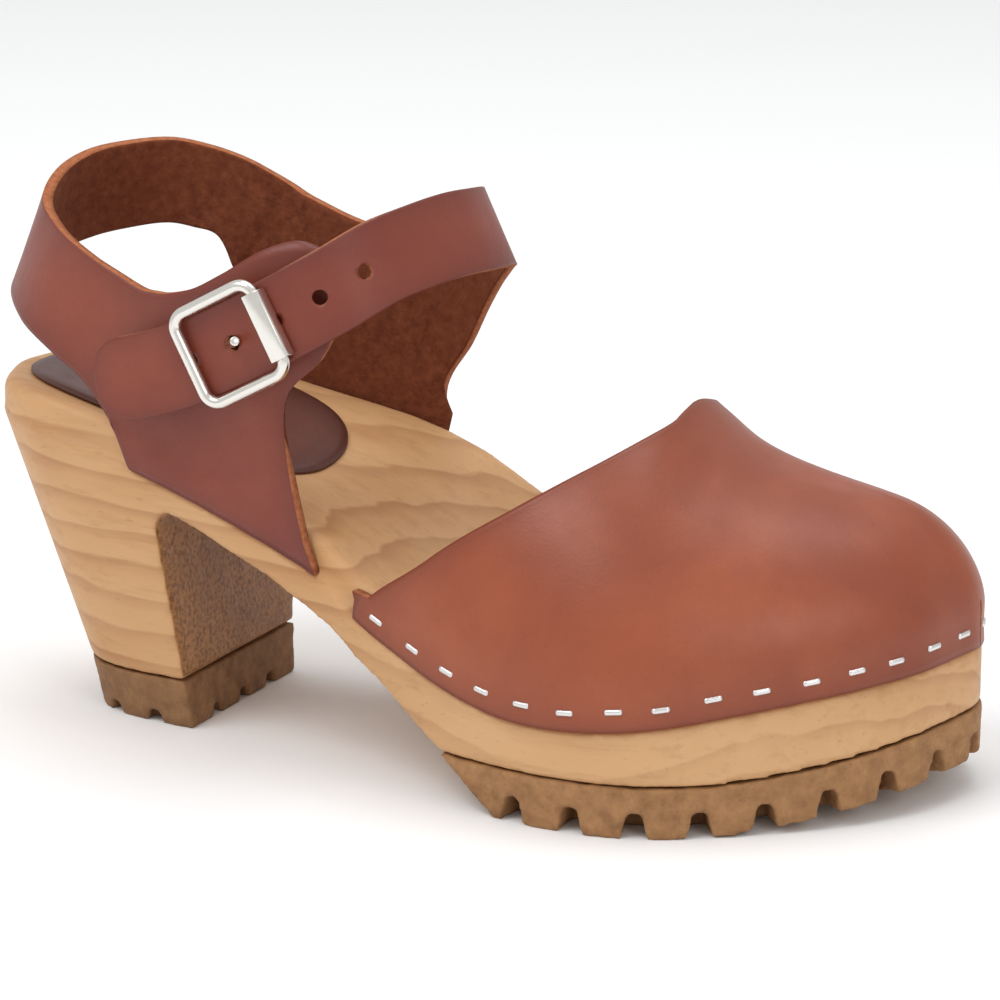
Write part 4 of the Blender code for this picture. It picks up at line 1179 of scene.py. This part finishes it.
def pad_piece(material):
    """The heel pad, thin and a little rounded at its edge."""
    rings, count = PAD_FINE
    start, end = PAD_BACK, PAD_BACK + PAD_LENGTH
    centre_x = (start + end) / 2
    angles = np.linspace(0, 2 * math.pi, count, endpoint=False)
    parts = np.cos(angles), np.sin(angles)
    cosine, sine = (np.sign(part) * np.abs(part) ** (2 / PAD_POWER) for part in parts)
    points, values = [], []
    for layer in (0, 1):
        for ring in range(rings + 1):
            share = ring / rings
            used = slice(None) if ring else slice(0, 1)
            x = centre_x + (end - start) / 2 * share * cosine[used]
            y = HEEL_CENTRE + PAD_WIDTH / 2 * share * sine[used]
            rounding = max(0, (share - PAD_ROUND_START) / (1 - PAD_ROUND_START)) ** 2
            rise = FIT + PAD * (1 - rounding * PAD_ROUND_DROP) * layer
            points += list(zip(x, y, footbed(x, y) + rise))
            values += [max(0, (share - PAD_DARK_START) / (1 - PAD_DARK_START)) * layer] * len(x)
    layer_size = 1 + rings * count
    faces = []
    for layer in (0, 1):
        base = layer * layer_size
        for k in range(count):
            after = (k + 1) % count
            faces.append((base, base + 1 + k, base + 1 + after))
            for ring in range(rings - 1):
                a = base + 1 + ring * count
                faces.append((a + k, a + count + k, a + count + after, a + after))
    rim = 1 + (rings - 1) * count
    for k in range(count):
        after = (k + 1) % count
        faces.append((rim + k, rim + after, layer_size + rim + after, layer_size + rim + k))
    return face_out(solid("heel_pad_leather", points, faces, [material], values=values))


def add_light(name, place, size, power):
    """A rectangular lamp that shines at the camera's target."""
    lamp = bpy.data.lights.new(name, "AREA")
    lamp.shape = "RECTANGLE"
    lamp.size, lamp.size_y = size
    lamp.energy = power
    thing = link(bpy.data.objects.new(name, lamp))
    thing.location = place
    thing.rotation_euler = (Vector(CAMERA_TARGET) - Vector(place)).to_track_quat("-Z", "Y").to_euler()


def add_camera():
    camera = link(bpy.data.objects.new("camera", bpy.data.cameras.new("camera")))
    camera.data.lens = CAMERA_LENS
    camera.data.sensor_width = CAMERA_SENSOR
    back = Vector(CAMERA_BACK).normalized()
    camera.location = Vector(CAMERA_TARGET) + back * CAMERA_DISTANCE
    camera.rotation_euler = back.to_track_quat("Z", "Y").to_euler()
    bpy.context.scene.camera = camera


def add_floor():
    nodes = Nodes("pale floor")
    nodes.set(Base_Color=(0.9, 0.905, 0.91, 1), Roughness=0.9)
    mesh = bpy.data.meshes.new("floor")
    corners = [(x * FLOOR_HALF, y * FLOOR_HALF, 0) for x, y in ((-1, -1), (1, -1), (1, 1), (-1, 1))]
    mesh.from_pydata(corners, [], [(0, 1, 2, 3)])
    mesh.materials.append(nodes.material)
    floor = link(bpy.data.objects.new("floor", mesh))


def studio():
    """Camera, pale floor, white surroundings and three lamps."""
    add_camera()
    add_floor()
    world = bpy.data.worlds.new("studio")
    world.use_nodes = True
    background = world.node_tree.nodes["Background"]
    background.inputs["Color"].default_value = (1.0, 1.0, 1.0, 1)
    background.inputs["Strength"].default_value = WORLD_STRENGTH
    bpy.context.scene.world = world
    for light in LIGHTS:
        add_light(*light)
    view = bpy.context.scene.view_settings
    view.view_transform = "Standard"
    view.look = "None"


def main():
    wood = wood_material()
    sole_rubber = rubber_material("forefoot rubber", srgb(165, 122, 80), srgb(126, 88, 55))
    heel_rubber = rubber_material("heel rubber", srgb(146, 106, 70), srgb(108, 76, 48))
    vamp_tones = srgb(156, 78, 45), srgb(134, 61, 34), srgb(104, 42, 25)
    strap_tones = srgb(136, 62, 42), srgb(118, 48, 33), srgb(92, 35, 24)
    pad_tones = srgb(104, 58, 46), srgb(84, 44, 36), srgb(62, 32, 27)
    vamp_leather = leather_material("vamp leather", *vamp_tones, 0.43)
    strap_leather = leather_material("strap leather", *strap_tones, 0.42)
    pad_leather = leather_material("pad leather", *pad_tones, 0.45)
    flesh = flesh_material()
    cut = cut_material()
    nickel = metal_material("nickel", (0.80, 0.77, 0.72), 0.2)
    steel = metal_material("staple steel", (0.74, 0.73, 0.72), 0.28)

    rigid = (
        # piece, node, voxel, roughness, material, slot
        ("wood", "wooden_sole", WOOD_VOXEL, 0, wood, "alder_wood"),
        ("sole_rubber", "forefoot_outsole", RUBBER_VOXEL, RUBBER_ROUGH, sole_rubber, "crepe_rubber"),
        ("heel_rubber", "heel_top_piece", RUBBER_VOXEL, RUBBER_ROUGH, heel_rubber, "crepe_rubber"),
    )
    for name, node, voxel, rough, material, slot in rigid:
        finish_piece(refined(name, node, voxel, rough, material), slot, node)
    finish_piece(pad_piece(pad_leather), "pad_leather", "heel_pad")

    frames = {"vamp": [], "quarter": []}
    for owner, side, x, lift in staple_places():
        frames[owner].append(edge_frame(side, x, lift))
    finish_piece(vamp_piece([vamp_leather, flesh, cut], frames["vamp"]), "tan_leather", "vamp")
    finish_piece(strip_piece([strap_leather, flesh, cut], frames["quarter"]), "tan_leather", "ankle_strip")
    for owner, found in frames.items():
        points, faces = [], []
        for place, along, out in found:
            staple_mesh(points, faces, place - out * (DIMPLE * STAPLE_SUNK), along, out)
        finish_piece(face_out(solid(owner + "_staples", points, faces, [steel])), "nickel")
    buckle_pieces(nickel)
    studio()


main()
